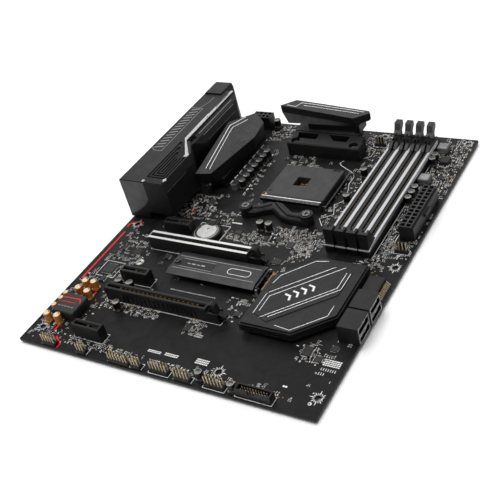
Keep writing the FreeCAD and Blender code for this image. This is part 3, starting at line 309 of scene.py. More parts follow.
def tint(red, green=None, blue=None):
    """A colour given on the 0 to 255 display scale, for a shader."""
    levels = (red, red if green is None else green, red if blue is None else blue)
    shares = [v / 255 for v in levels]
    straight = [v / 12.92 if v <= 0.04045 else ((v + 0.055) / 1.055) ** 2.4 for v in shares]
    return (*straight, 1.0)


class Finish:
    """A node material that is built up from grain, blotches, stripes and softened edges."""

    def __init__(self, name, rough, metallic=0.0, specular=0.5):
        """A new material with no colour or relief of its own yet."""
        self.material = bpy.data.materials.new(name)
        self.material.use_nodes = True
        self.tree = self.material.node_tree
        self.shader = self.tree.nodes["Principled BSDF"]
        for key, value in (("Metallic", metallic), ("Specular IOR Level", specular), ("Roughness", rough)):
            self.shader.inputs[key].default_value = value
        self.rough = rough
        self.where = self.node("ShaderNodeTexCoord").outputs["Object"]
        self.colour = None
        self.normal = None

    def node(self, kind, **values):
        """A new node of that kind."""
        made = self.tree.nodes.new(kind)
        for key, value in values.items():
            setattr(made, key, value)
        return made

    def feed(self, value, socket):
        """A link into the socket, or a plain value on it."""
        if isinstance(value, bpy.types.NodeSocket):
            self.tree.links.new(value, socket)
        else:
            socket.default_value = value

    def maths(self, operation, a, b):
        """The result of one sum."""
        made = self.node("ShaderNodeMath", operation=operation)
        for value, socket in zip((a, b), made.inputs):
            self.feed(value, socket)
        return made.outputs[0]

    def facing(self):
        """Which way the surface faces in the piece's own axes, as X, Y and Z."""
        made = self.node("ShaderNodeSeparateXYZ")
        self.feed(self.node("ShaderNodeTexCoord").outputs["Normal"], made.inputs[0])
        return made.outputs

    def turned(self, degrees, stretch=(1, 1, 1)):
        """The object's own coordinates, turned about the upright axis and stretched."""
        made = self.node("ShaderNodeMapping")
        self.feed(self.where, made.inputs["Vector"])
        made.inputs["Rotation"].default_value[2] = math.radians(degrees)
        made.inputs["Scale"].default_value = stretch
        return made.outputs[0]

    def noise(self, size, detail=3.0, where=None):
        """Noise whose lumps are about size millimetres across."""
        made = self.node("ShaderNodeTexNoise")
        self.feed(where or self.where, made.inputs["Vector"])
        made.inputs["Scale"].default_value = 1 / (size * MM)
        made.inputs["Detail"].default_value = detail
        made.inputs["Roughness"].default_value = 0.55
        return made.outputs["Fac"]

    def stripes(self, pitch, degrees):
        """Bands of that pitch in millimetres, across the turned x axis."""
        made = self.node("ShaderNodeTexWave", wave_type="BANDS", bands_direction="X")
        self.feed(self.turned(degrees), made.inputs["Vector"])
        made.inputs["Scale"].default_value = math.pi / 10 / (pitch * MM)
        return made.outputs["Fac"]

    def spots(self, pitch, radius):
        """1 inside round spots, which are about pitch millimetres apart."""
        made = self.node("ShaderNodeTexVoronoi", feature="F1")
        self.feed(self.where, made.inputs["Vector"])
        made.inputs["Scale"].default_value = 1 / (pitch * MM)
        return self.between(made.outputs["Distance"], radius / pitch, radius / pitch * 0.8)

    def between(self, value, low, high, start=0.0, end=1.0):
        """The value, with low to high spread over start to end."""
        made = self.node("ShaderNodeMapRange")
        self.feed(value, made.inputs["Value"])
        for socket, number in zip(("From Min", "From Max", "To Min", "To Max"), (low, high, start, end)):
            made.inputs[socket].default_value = number
        return made.outputs["Result"]

    def mix(self, share, first, second):
        """first where share is 0, second where it is 1."""
        made = self.node("ShaderNodeMix", data_type="RGBA")
        self.feed(share, made.inputs["Factor"])
        self.feed(first, made.inputs[6])
        self.feed(second, made.inputs[7])
        return made.outputs[2]

    def paint(self, dark, light, size, low=0.35, high=0.65, where=None):
        """Colour that drifts between two tones, in lumps of that size."""
        self.colour = self.mix(self.between(self.noise(size, where=where), low, high), dark, light)
        return self

    def over(self, share, colour):
        """Another colour over what is there, where share is 1."""
        self.colour = self.mix(share, self.colour, colour)
        return self

    def soften(self, radius):
        """Edges that catch the light as if they were rounded by radius millimetres."""
        made = self.node("ShaderNodeBevel", samples=4)
        made.inputs["Radius"].default_value = radius * MM
        self.normal = made.outputs["Normal"]
        return self

    def relief(self, value, depth):
        """Relief that is depth millimetres deep where value is 1."""
        made = self.node("ShaderNodeBump")
        made.inputs["Strength"].default_value = 1.0
        made.inputs["Distance"].default_value = depth * MM
        self.feed(value, made.inputs["Height"])
        if self.normal is not None:
            self.feed(self.normal, made.inputs["Normal"])
        self.normal = made.outputs["Normal"]
        return self

    def sheen_spread(self, value, spread):
        """Roughness that rises and falls by spread with value."""
        self.feed(self.between(value, 0.3, 0.7, self.rough - spread, self.rough + spread),
                  self.shader.inputs["Roughness"])
        return self

    def done(self):
        """The finished material."""
        if self.colour is not None:
            self.feed(self.colour, self.shader.inputs["Base Color"])
        if self.normal is not None:
            self.feed(self.normal, self.shader.inputs["Normal"])
        return self.material


def moulded(name, level, warm=0, rough=0.5, grain=0.35, depth=0.02, specular=0.4):
    """Moulded plastic: fine spark grain, faint flow marks and softened edges."""
    made = Finish(name, rough, specular=specular)
    made.paint(tint(level * 0.82 + warm, level * 0.82, level * 0.82),
               tint(level * 1.15 + warm, level * 1.15, level * 1.15), 6.0)
    grains = made.noise(grain, 2.0)
    made.over(made.between(grains, 0.55, 0.8, 0.0, 0.35), tint(level * 1.5))
    return made.soften(0.25).relief(grains, depth).sheen_spread(made.noise(3.0), 0.08).done()


def coloured(name, dark, light, rough=0.5):
    """Fired ceramic or moulded epoxy in a colour of its own, lightly speckled."""
    made = Finish(name, rough, specular=0.4)
    made.paint(tint(*dark), tint(*light), 0.9)
    grains = made.noise(0.2, 2.0)
    return made.relief(grains, 0.01).sheen_spread(grains, 0.08).done()


def shell_with_painted_shade(name, top, side):
    """Pressed steel that is bright on top, with painted shade darkening its upright walls to the side tone.
    """
    made = Finish(name, 0.4, metallic=0.4)
    made.paint(tint(top * 0.86), tint(top), 1.2, where=made.turned(0.0, (1, 9, 1)))
    facing = made.facing()
    # painted shade: upright walls take the dark side tone
    made.over(made.between(facing["Z"], 0.7, 0.4), tint(side))
    grains = made.noise(0.25, 3.0)
    return made.soften(0.2).relief(grains, 0.01).sheen_spread(grains, 0.08).done()


def metal(name, colour, darker, rough=0.3, brush=0.0, grain=0.25, share=1.0):
    """Metal with a fine surface grain, drawn out along brush degrees if that is given."""
    made = Finish(name, rough, metallic=share)
    drawn = made.turned(brush, (1, 14, 1)) if brush else None
    made.paint(darker, colour, grain * 4, where=drawn)
    grains = made.noise(grain, 3.0, drawn)
    return made.soften(0.15).relief(grains, 0.008).sheen_spread(grains, 0.08).done()


def board_finish():
    """Matt black solder mask, with traces and filled holes that just show under it."""
    made = Finish("solder_mask", 0.46, specular=0.16)
    made.paint(tint(9, 9, 10), tint(17, 17, 18), 14.0)
    straight, slanted, crossing = (made.between(made.stripes(pitch, degrees), 0.62, 0.74)
                                   for pitch, degrees in ((0.9, 0.0), (0.9, 45.0), (1.1, 90.0)))
    patches = made.noise(17.0, 0.0)
    runs_a = made.maths("MULTIPLY", straight, made.between(patches, 0.56, 0.58))
    runs_b = made.maths("MULTIPLY", slanted, made.between(patches, 0.45, 0.43))
    other = made.noise(23.0, 0.0, made.turned(30.0))
    runs_c = made.maths("MULTIPLY", crossing, made.between(other, 0.57, 0.59))
    runs = made.maths("MAXIMUM", made.maths("MAXIMUM", runs_a, runs_b), runs_c)
    made.over(made.maths("MULTIPLY", runs, 0.55), tint(31, 31, 32))
    vias = made.spots(2.6, 0.24)
    made.over(made.maths("MULTIPLY", vias, 0.6), tint(48, 47, 44))
    lift = made.maths("ADD", runs, vias)
    return made.relief(lift, 0.03).sheen_spread(made.noise(5.0), 0.06).done()


def coated(name, low, high, hatch, degrees, rough=0.48):
    """Aluminium with a dark powder coat, cut with a fine hatch on top, of hatch millimetres pitch, and
    painted shade on its upright faces.
    """
    made = Finish(name, rough, metallic=0.35, specular=0.4)
    made.paint(tint(low), tint(high), 9.0)
    grains = made.noise(0.3, 2.0)
    made.over(made.between(grains, 0.5, 0.8, 0.0, 0.4), tint(high * 1.35))
    made.soften(0.35)
    facing = made.facing()
    # painted shade: upright faces are darkened
    made.over(made.between(facing["Z"], 0.45, 0.05), tint(low * 0.42))
    lines = made.between(made.stripes(hatch, degrees), 0.35, 0.65)
    upward = made.between(facing["Z"], 0.75, 0.85)
    cut = made.maths("MULTIPLY", lines, upward)
    made.over(made.maths("MULTIPLY", cut, 0.55), tint(low * 0.45))
    made.relief(cut, -0.05)
    return made.relief(grains, 0.02).sheen_spread(made.noise(2.5), 0.07).done()


def can_finish():
    """Capacitor can: a dark sleeve below and satin aluminium on top."""
    made = Finish("capacitor_can", 0.36, metallic=0.5)
    made.paint(tint(104, 101, 94), tint(140, 136, 128), 1.5)
    facing = made.facing()
    upright = made.between(facing["Z"], 0.6, 0.4)
    made.over(upright, tint(22, 22, 23))
    grains = made.noise(0.2, 2.0)
    return made.soften(0.2).relief(grains, 0.008).sheen_spread(grains, 0.06).done()


def cover_with_painted_shade():
    """Grained plastic, matt grey on the rear half and near black round the grooves and on the front half,
    with painted shade on the faces that look to the front edge and to the bottom edge.
    """
    made = Finish("cover_plastic", 0.55, specular=0.18)
    made.paint(tint(33), tint(42), 6.0)
    grains = made.noise(0.3, 2.0)
    made.over(made.between(grains, 0.55, 0.8, 0.0, 0.35), tint(58))
    parts = made.node("ShaderNodeSeparateXYZ")
    made.feed(made.where, parts.inputs[0])
    facing = made.facing()
    front, up = (22.6 - ORIGIN.x) * MM, (213.0 - ORIGIN.y) * MM
    groove_side = made.between(parts.outputs["X"], front, front + 0.0003)
    groove_end = made.between(parts.outputs["Y"], up, up - 0.012)
    made.over(made.maths("MULTIPLY", groove_side, groove_end), tint(19))
    # painted shade: faces towards the front edge darker, faces towards the bottom edge nearly black
    made.over(made.between(facing["X"], 0.45, 0.8), tint(14))
    made.over(made.between(facing["Y"], -0.5, -0.8), tint(4))
    return made.soften(0.4).relief(grains, 0.02).sheen_spread(made.noise(3.0), 0.08).done()


def silk(name, colour, dimmer):
    """Printed ink: slightly raised, with thin spots."""
    made = Finish(name, 0.6, specular=0.3)
    made.paint(dimmer, colour, 0.5, 0.3, 0.5)
    return made.relief(made.noise(0.3, 2.0), 0.01).done()


def cell_finish():
    """The coin cell's bright nickel face, with a rolled sheen."""
    made = Finish("battery_steel", 0.4, metallic=0.35)
    made.paint(tint(184, 184, 182), tint(200, 200, 198), 3.5)
    grains = made.noise(0.4, 3.0, made.turned(20.0, (1, 8, 1)))
    return made.soften(0.3).relief(grains, 0.01).sheen_spread(grains, 0.08).done()


FINISHES = {
    "board": board_finish(),
    "solder": metal("solder", tint(206, 206, 208), tint(150, 150, 154), rough=0.26, grain=0.3),
    "plain_steel": metal("plain_steel", tint(176, 176, 178), tint(120, 121, 124), rough=0.34, brush=90.0),
    "bright_steel": metal("bright_steel", tint(222, 222, 224), tint(168, 168, 172), rough=0.22),
    "armour_steel": metal("armour_steel", tint(206, 206, 208), tint(168, 169, 172), rough=0.42, brush=90.0,
                          share=0.35),
    "socket_plastic": moulded("socket_plastic", 42, warm=2, rough=0.55, grain=0.3),
    "black_plastic": moulded("black_plastic", 20, rough=0.5, specular=0.3),
    "slot_plastic": moulded("slot_plastic", 20, rough=0.42, grain=0.5, specular=0.3),
    "latch_plastic": moulded("latch_plastic", 44, rough=0.5, grain=0.25, depth=0.03),
    "gold": metal("gold", tint(214, 168, 104), tint(150, 108, 56), rough=0.3, share=0.6),
    "shield_metal": coated("shield_metal", 54, 70, hatch=0.7, degrees=0.0, rough=0.45),
    "dark_screw": metal("dark_screw", tint(96, 96, 100), tint(52, 52, 56), rough=0.32),
    "thermal_pad": moulded("thermal_pad", 126, rough=0.8, grain=0.8),
    "chip_epoxy": moulded("chip_epoxy", 34, rough=0.6, grain=0.15),
    "heatsink_metal": coated("heatsink_metal", 38, 54, hatch=1.8, degrees=28.0),
    "choke_grey": moulded("choke_grey", 92, rough=0.62, grain=0.3, depth=0.03),
    "capacitor_can": can_finish(),
    "gold_capacitor": metal("gold_capacitor", tint(226, 164, 92), tint(176, 112, 52), rough=0.34, share=0.45),
    "audio_shield": moulded("audio_shield", 30, rough=0.4, grain=0.5),
    "battery_steel": cell_finish(),
    "tin": metal("tin", tint(214, 214, 216), tint(160, 160, 164), rough=0.28),
    "cover_plastic": cover_with_painted_shade(),
    "silver_trim": metal("silver_trim", tint(244, 244, 246), tint(206, 206, 210), rough=0.2),
}

print_white = silk("print_white", tint(236, 236, 234), tint(176, 176, 174))
print_grey = silk("print_grey", tint(120, 120, 120), tint(84, 84, 84))
print_red = silk("print_red", tint(232, 14, 18), tint(176, 8, 12))
red_paint = moulded("red_paint", 40, warm=130, rough=0.4, grain=0.4)
ceramic_tan = coloured("ceramic_tan", (92, 74, 52), (132, 108, 78))
# bright tin, also the colour of the painted highlights on choke edges
bright_solder_and_highlight = metal("bright_solder_and_highlight", tint(244, 244, 240), tint(120, 120, 118), rough=0.4, grain=0.5,
                      share=0.25)
# pale ink, also the colour of the painted highlights on capacitor tops
pale_print_and_highlight = silk("pale_print_and_highlight", tint(178), tint(120))
label_black = moulded("label_black", 46, rough=0.35, grain=0.8, depth=0.01)

# nodes whose look differs from the other nodes of the same material slot
OWN_FINISH = {
    "cpu_socket_cam_plate": metal("cam_plate_steel", tint(74, 74, 76), tint(40, 40, 42), rough=0.35),
    "cpu_socket_lever": metal("lever_steel", tint(120, 120, 124), tint(70, 70, 74), rough=0.3),
    "chipset_heatsink": coated("chipset_heatsink_coat", 24, 34, hatch=0.85, degrees=45.0),
    "pcie_x16_main_armour": shell_with_painted_shade("slot_shell_steel", 226, 40),
    "rear_cover_trim": metal("cover_trim_metal", tint(206, 206, 208), tint(140, 140, 142), rough=0.4,
                              share=0.45),
    "bracket_screws": metal("bracket_screw_steel", tint(128), tint(70), rough=0.36, share=0.7),
    "pin_header_pins": metal("tinned_pins", tint(222, 206, 176), tint(160, 142, 112), rough=0.35, share=0.5),
}

for part in frame["record"]["subparts"]:
    for spot in frame["nodes"][part["node"]].material_slots:
        spot.material = OWN_FINISH.get(part["node"], FINISHES[part["material_slot"]])

# ---- printed marks on the board

PRINT = 0.03    # how far the ink stands over the board
chance = random.Random(382)

marks = Shape()
REAR_X, MIDDLE_X, FRONT_X = 10.16, 165.1, 237.49      # the standoff columns of the board standard
STANDOFFS = [(x, y) for y in (16.51, 140.97) for x in (REAR_X, MIDDLE_X, FRONT_X)]
STANDOFFS += [(REAR_X, 275.59), (MIDDLE_X, 298.45), (FRONT_X, 298.45)]
STAR_INNER = 2.1
for hole in (Vector(spot) for spot in STANDOFFS):
    marks.ring(*hole, STAR_INNER, 3.1, 0.0, PRINT)
    for i in range(16):
        angle = math.radians(22.5 * i)
        reach = 6.0 if i % 4 == 0 else (4.9 if i % 2 == 0 else 4.0)
        away = Vector((math.cos(angle), math.sin(angle)))
        across = Vector((-away.y, away.x))
        ray = [hole + away * STAR_INNER - across * 0.45, hole + away * reach - across * 0.12,
               hole + away * reach + across * 0.12, hole + away * STAR_INNER + across * 0.45]
        if open_board(*ray[0], 0.4) and open_board(*ray[2], 0.4):
            marks.prism([tuple(p) for p in ray], 0.0, PRINT)
marks.piece("standoff_star_pads", "solder", print_white)

prints = Shape()
MEMORY_CURVE = [(145, 258), (143, 254), (146, 251), (160, 243), (163, 238), (163, 228), (166, 220),
                (168, 205), (163, 200), (168, 188), (159, 181), (165, 173)]
CHIP_TOP = 2.0          # chips lower than this have leads all round
LOW_CHIPS = [box for box in solids("controller_chips") if box[1].z < CHIP_TOP]
biggest_chip = max(LOW_CHIPS, key=lambda box: box[1].x - box[0].x)

power_low, power_high = box_of("main_power_socket")
memory_low, memory_high = box_of("dimm_slot_4")
CURVES = [
    MEMORY_CURVE,
    [(157, 262), (165, 268), (165, 278), (157, 282)],
    [(memory_high.x + 1.6, memory_low.y), (memory_high.x + 1.6, memory_high.y + 5)],
    [(power_low.x - 2.9, power_low.y - 3), (power_low.x - 2.9, power_high.y + 2),
     (power_high.x, power_high.y + 2)],
    framed(*biggest_chip, 3.6, 3.6),
    framed(*box_of("battery_holder"), 1.8, 0.6),
]
for curve in CURVES:
    prints.open_line(curve, 0.4, PRINT)
for low, high in solids("pin_header_bases"):
    prints.open_line(framed(low, high, 0.7, 0.7), 0.32, PRINT)
for node in ("pcie_x16_main_slot", "pcie_x16_second_slot", "pcie_x1_slots"):
    for low, high in solids(node):
        prints.open_line(framed(low, high, 1.1, 1.0), 0.28, PRINT)
for i in range(11):
    prints.block(80.8 - 0.3 * i, 199.0 + 5.6 * i, 0.9, 3.4, 0.0, PRINT, turn=4)
# blocks of print, as middle and size
WHITE_BLOCKS = [
    (BOARD_X - 10, 45, 12, 6), (111, 19.5, 11, 2.6), (125, 20, 11, 3), (149.5, 21, 10, 5),
    (213.2, 18.7, 3.4, 2.2), (50, 164, 2.4, 1.6), (234.4, 152.7, 2.2, 3.2), (59, 3.6, 6, 1.4),
    (37, 161.4, 0.8, 9.6), (95.8, 161.2, 9.4, 2.2), (62, 176, 2.0, 4.0), (66, 175, 2.0, 4.0),
    (46.4, 177.2, 3.0, 5.0), (205, 53, 2, 1), (230, 263.5, 1.8, 1.2), (237, 237, 1.4, 2.2),
]
for x, y, size_x, size_y in WHITE_BLOCKS:
    columns, rows = max(1, round(size_x / 1.5)), max(1, round(size_y / 1.5))
    step_x, step_y = size_x / columns, size_y / rows
    for i in range(columns):
        for j in range(rows):
            spot = (x - size_x / 2 + (i + 0.5) * step_x, y - size_y / 2 + (j + 0.5) * step_y)
            if open_board(*spot, 0.4):
                prints.block(*spot, step_x * 0.82, step_y * 0.62, 0.0, PRINT)
for row, count in ((39, 7), (35, 3)):
    for i in range(count):
        prints.block(BOARD_X - 15 + 1.6 * i, row, 0.4, 2.2, 0.0, PRINT)
prints.piece("printed_outlines", "board", print_white)

pads = Shape()
for x, y, inner, outer, top, sides in ((42.0, 99.4, 1.3, 3.4, 0.05, 40), (42.0, 99.4, 1.3, 1.7, 0.5, 32),
                                       (234.4, 10.8, 0.6, 1.3, 0.05, 24)):
    pads.ring(x, y, inner, outer, 0.0, top, sides)
for x, y in ((215.7, 136.0), (222.4, 131.6), (218.6, 139.0)):
    pads.disc(x, y, 0.9, 0.0, 0.5, 12, bevel=0.15)
pads.piece("bare_metal_pads", "tin", bright_solder_and_highlight)

reds = Shape()
RED_LINES = [
    [(5, 70.8), (5, 102.4), (4.9, 130)],
    [(2.9, 136), (2.9, 139.6), (7.2, 143.8), (14.5, 143.8)],
    [(28.6, 63.7), (27.6, 54)],
    [(22, 15), (22, 28)],
    [(28, 11), (36, 5), (36, 1.2)],
]
for path in RED_LINES:
    reds.open_line(path, 1.35, PRINT)
reds.piece("printed_red_divider", "board", print_red)

# ---- small parts on the board

# places that are taken, as middle and reach: the standoffs and the printed lines to begin with
taken = [(x, y, 0.9, 0.9) for x, y in STANDOFFS]
for path in CURVES + RED_LINES:
    for a, b in zip(path, path[1:]):
        taken += [(*spot, 0.5, 0.5) for spot in spots_along(a, b, max(1, round(math.dist(a, b) / 1.4)))]


def claim(x, y, reach_x, reach_y, tall=1.4):
    """Whether a part fits at x, y. If it does, its place is kept for it."""
    for a, b, c, d in taken:
        if abs(x - a) < reach_x + c + 0.12 and abs(y - b) < reach_y + d + 0.12:
            return False
    if not room_for(x, y, reach_x, reach_y, tall):
        return False
    taken.append((x, y, reach_x, reach_y))
    return True


SIZES = [(1.0, 0.5, 0.35), (1.6, 0.8, 0.45), (2.0, 1.25, 0.6)]     # length, width and height
tan_bodies, black_bodies, part_ends, ticks, lead_pins, small_chips, dots = (Shape() for _ in range(7))


def two_ended(x, y, size, along_x, bodies, side=1):
    """A chip resistor or capacitor with plated ends, on its two pads. side is -1 under the board."""
    length, wide, tall = size
    cap = length * 0.24
    under_z = -THICKNESS

    def lay(shape, shift, size_a, size_b, low, high):
        """One block, low to high over the face that the part sits on, shift along the part."""
        if side < 0:
            low, high = under_z - high, under_z - low
        if along_x:
            shape.block(x + shift, y, size_a, size_b, low, high)
        else:
            shape.block(x, y + shift, size_b, size_a, low, high)

    lay(bodies, 0.0, length - 2 * cap, wide * 0.92, 0.02, tall)
    for end in (-1, 1):
        lay(part_ends, end * (length - cap) / 2, cap, wide, 0.02, tall + 0.02)
    for end in (-1, 1):
        lay(part_ends, end * (length / 2 + 0.12), 0.36, wide * 1.1, 0.0, 0.06)


def part_row(x, y, most=5):
    """One to most equal parts side by side, with the printed ticks beside them."""
    size = chance.choices(SIZES, (12, 6, 1))[0]
    along_x = chance.random() < 0.5
    bodies = tan_bodies if chance.random() < 0.34 else black_bodies
    pitch = size[1] + chance.choice((0.35, 0.5, 0.9))
    for i in range(chance.randint(1, most)):
        spot = (x, y + i * pitch) if along_x else (x + i * pitch, y)
        reach = (size[0] / 2 + 0.3, size[1] / 2 + 0.05)
        reach = reach if along_x else reach[::-1]
        if not claim(*spot, *reach):
            return
        two_ended(*spot, size, along_x, bodies)
        if chance.random() < 0.55:
            side = chance.choice((-1, 1)) * (size[0] / 2 + 0.75)
            mark = (spot[0] + side, spot[1]) if along_x else (spot[0], spot[1] + side)
            if open_board(*mark, 0.4):
                sizes = (0.7, 0.3) if along_x else (0.3, 0.7)
                ticks.block(*mark, *sizes, 0.0, PRINT)


def leaded_chip(x, y, wide, long, tall, pins):
    """A small chip with a row of gull-wing leads down both long sides."""
    if not claim(x, y, wide / 2 + 0.9, long / 2 + 0.2, tall + 0.3):
        return
    small_chips.block(x, y, wide, long, 0.1, tall, bevel=0.12)
    ticks.disc(x - wide / 2 + 0.5, y + long / 2 - 0.5, 0.18, tall, tall + 0.02)
    pitch = long / pins
    for i in range(pins):
        for side in (-1, 1):
            place_y = y - long / 2 + (i + 0.5) * pitch
            lead_pins.block(x + side * (wide / 2 + 0.15), place_y, 0.4, pitch * 0.45, 0.3, tall * 0.6)
            lead_pins.block(x + side * (wide / 2 + 0.5), place_y, 0.6, pitch * 0.5, 0.0, 0.22)


def flat_chip(x, y, size):
    """A square flat chip with solder along all four edges."""
    tall, pins = 0.4 + size / 10, 2 * size - 2
    if not claim(x, y, size / 2 + 0.5, size / 2 + 0.5, tall + 0.3):
        return
    small_chips.block(x, y, size, size, 0.05, tall, bevel=0.1)
    ticks.disc(x - size / 2 + 0.6, y + size / 2 - 0.6, 0.2, tall, tall + 0.02)
    pitch = (size - 0.8) / pins
    for i in range(pins):
        along = -size / 2 + 0.4 + (i + 0.5) * pitch
        for side in (-1, 1):
            lead_pins.block(x + side * (size / 2 + 0.12), y + along, 0.34, pitch * 0.5, 0.0, 0.25)
            lead_pins.block(x + along, y + side * (size / 2 + 0.12), pitch * 0.5, 0.34, 0.0, 0.25)


FLAT_CHIPS = [(111, 256, 5), (94, 147, 5), (140, 150, 4), (170, 160, 4), (150, 126, 6), (232, 272, 5),
              (231, 249, 4), (33, 110, 6), (230, 57, 5), (60, 182, 5)]
for chip in FLAT_CHIPS:
    flat_chip(*chip)
for spot in ((130, 148), (24, 74), (62, 110), (150, 68), (235, 94), (226, 254), (160, 288), (213, 134)):
    leaded_chip(*spot, 3.9, 5, 1.3, 4)
leaded_chip(19, 112, 3.0, 6.4, 1.0, 10)
leaded_chip(122, 46, 4.4, 6.4, 1.1, 10)
for _ in range(70):
    leaded_chip(chance.uniform(4, 240), chance.uniform(60, 301), 1.3, 2.9, 1.0, 3)

LEAD_PITCH = 0.8
for low, high in LOW_CHIPS:
    x, y, wide, long = (low.x + high.x) / 2, (low.y + high.y) / 2, high.x - low.x, high.y - low.y
    for run, reach, turned in ((long, wide / 2 + 0.4, False), (wide, long / 2 + 0.4, True)):
        for i in range(int((run - LEAD_PITCH) / LEAD_PITCH)):
            along = -run / 2 + LEAD_PITCH * (i + 1)
            for side in (-1, 1):
                spot = (x + along, y + side * reach) if turned else (x + side * reach, y + along)
                lead_pins.block(*spot, *((0.36, 0.8) if turned else (0.8, 0.36)), 0.0, 0.3)
red_chip = Shape()
red_chip.block(51.0, 166.5, 3.4, 1.7, 0.0, 1.1, bevel=0.15)
red_chip.piece("red_part", "audio_shield", red_paint)

# areas crowded with small parts: low corner, high corner, and how many rows of parts are tried
BUSY = [
    (98, 243, 122, 259, 26), (90, 140, 138, 152, 90), (138, 145, 176, 164, 240), (38, 158, 64, 190, 90),
    (3, 6, 42, 27, 40), (3, 27, 12, 78, 20), (33, 27, 42, 78, 20), (12, 64, 42, 80, 14),
    (217, 144, 229, 166, 60), (217, 166, 228, 240, 150), (218, 228, 243, 300, 260),
    (156, 128, 172, 150, 40), (41, 47, 92, 56, 90), (118, 40, 132, 54, 40), (92, 262, 97, 300, 10),
    (41, 8, 78, 16, 40), (78, 8, 222, 13, 60), (136, 104, 160, 118, 40), (136, 60, 150, 84, 16),
    (205, 130, 229, 144, 30), (226, 18, 243, 64, 3), (208, 40, 220, 58, 20), (219, 40, 228, 52, 16),
    (224, 88, 229, 140, 12), (92, 170, 104, 190, 14), (158, 172, 180, 262, 70), (146, 262, 182, 302, 70),
    (60, 276, 78, 302, 40), (10, 78, 42, 134, 60), (64, 156, 92, 172, 34), (79, 196, 84, 262, 12),
    (128, 154, 140, 164, 20), (232, 150, 243, 170, 20), (239, 170, 243, 226, 20),
]
for x0, y0, x1, y1, rows in BUSY:
    for _ in range(rows):
        part_row(round(chance.uniform(x0, x1), 1), round(chance.uniform(y0, y1), 1))
    for _ in range(rows):
        x, y = chance.uniform(x0, x1), chance.uniform(y0, y1)
        if chance.random() < 0.4 and claim(x, y, 0.45, 0.45, 0.5):
            dots.disc(x, y, chance.choice((0.35, 0.45, 0.55)), 0.0, PRINT, 8)
        elif claim(x, y, 0.8, 0.6, 0.5):
            turned = chance.random() < 0.5
            for i in range(chance.randint(2, 4)):
                shift = (i - 1) * 0.55
                ticks.block(x + (0 if turned else shift), y + (shift if turned else 0),
                            1.0 if turned else 0.34, 0.34 if turned else 1.0, 0.0, PRINT)
for _ in range(60):
    part_row(round(chance.uniform(3, 241), 1), round(chance.uniform(56, 302), 1), 2)
for row, first, count in ((55.0, 60, 44), (116.0, 60, 40), (78.6, 86, 25)):
    for i in range(count):
        if open_board(first + 1.6 * i, row, 0.5):
            part_ends.block(first + 1.6 * i, row, 0.6, 1.0, 0.0, 0.1)

# the underside: scattered small parts and printed ticks
under = tree_of(["solder_joints", "cpu_backplate", "heatsink_screws"])


def open_underneath(x, y):
    """Whether nothing hangs under the board at x, y."""
    return under.ray_cast(place(x, y, -THICKNESS - 0.02), Vector((0, 0, -1)))[0] is None


def room_underneath(x, y, reach):
    """Whether the square round x, y is open on the underside."""
    return all(open_underneath(x + i * reach, y + j * reach) for i, j in NINE_SPOTS)


taken_under = []
for _ in range(2600):
    x, y = round(chance.uniform(6, 238), 1), round(chance.uniform(6, 299), 1)
    size = chance.choices(SIZES, (5, 3, 1))[0]
    near_hole = any(math.dist((x, y), spot) < 6 for spot in STANDOFFS)
    crowded = any(abs(x - a) < 2.4 and abs(y - b) < 2.4 for a, b in taken_under)
    if near_hole or crowded or not room_underneath(x, y, size[0] / 2 + 0.5):
        continue
    taken_under.append((x, y))
    if chance.random() < 0.35:
        two_ended(x, y, size, chance.random() < 0.5, chance.choice((tan_bodies, black_bodies)), side=-1)
    else:
        for i in range(chance.randint(1, 3)):
            ticks.block(x + 0.5 * i, y, 0.28, 0.9, -THICKNESS - PRINT, -THICKNESS)

tan_bodies.piece("chip_capacitors", "choke_grey", ceramic_tan)
black_bodies.piece("chip_resistors", "chip_epoxy", FINISHES["chip_epoxy"])
part_ends.piece("chip_end_caps", "tin", bright_solder_and_highlight)
small_chips.piece("small_chips", "chip_epoxy", FINISHES["chip_epoxy"])
lead_pins.piece("small_chip_leads", "tin", bright_solder_and_highlight)
ticks.piece("printed_ticks", "board", print_white)
dots.piece("test_points", "gold", FINISHES["gold"])

# ---- capacitors and chokes

can_prints, can_top_highlights, audio_tops = Shape(), Shape(), Shape()


def part_moon(shape, x, y, radius, z, start, sweep, inner=0.0):
    """A flat segment of a disc, or of a ring where inner is given, for printed marks and painted highlights.
    """
    outline = arc(x, y, radius, start, sweep, 12)
    if inner:
        outline += arc(x, y, inner, start, sweep, 12)[::-1]
    shape.prism(outline, z, z + 0.06)


choke_row_x = box_of("power_chokes")[0].x
LONG_ROW = (3.0, 13.0)      # how far past the chokes' near side the long row of cans stands
for x, y, radius, top in round_solids("power_capacitors"):
    if LONG_ROW[0] < x - choke_row_x < LONG_ROW[1]:
        can_prints.disc(x, y, 2.75, top, top + 0.06, 24)
        # a pale crescent on the near side of the rim: a painted highlight
        part_moon(can_top_highlights, x, y, 2.6, top + 0.06, 215, 100, 1.9)
    else:
        part_moon(can_prints, x, y, radius - 0.6, top, 20, 170)
        # a pale ring on the top: a painted highlight
        can_top_highlights.ring(x, y, 2.2, 2.45, top, top + 0.05, sides=24)
WIDE_CAN = 2.5          # wider audio cans have a printed moon
for x, y, radius, top in round_solids("audio_capacitors"):
    wide = radius > WIDE_CAN
    audio_tops.disc(x, y, radius - (0.6 if wide else 0.5), top, top + 0.03, 20)
    if wide:
        part_moon(can_prints, x, y, 2.2, top + 0.03, 30, 60, 1.5)
audio_tops.piece("audio_capacitor_tops", "gold_capacitor",
                 coloured("pale_can_top", (196, 180, 156), (232, 220, 198), 0.4))
can_prints.piece("capacitor_prints", "black_plastic", label_black)
can_top_highlights.piece("capacitor_top_painted_highlights", "capacitor_can", pale_print_and_highlight)

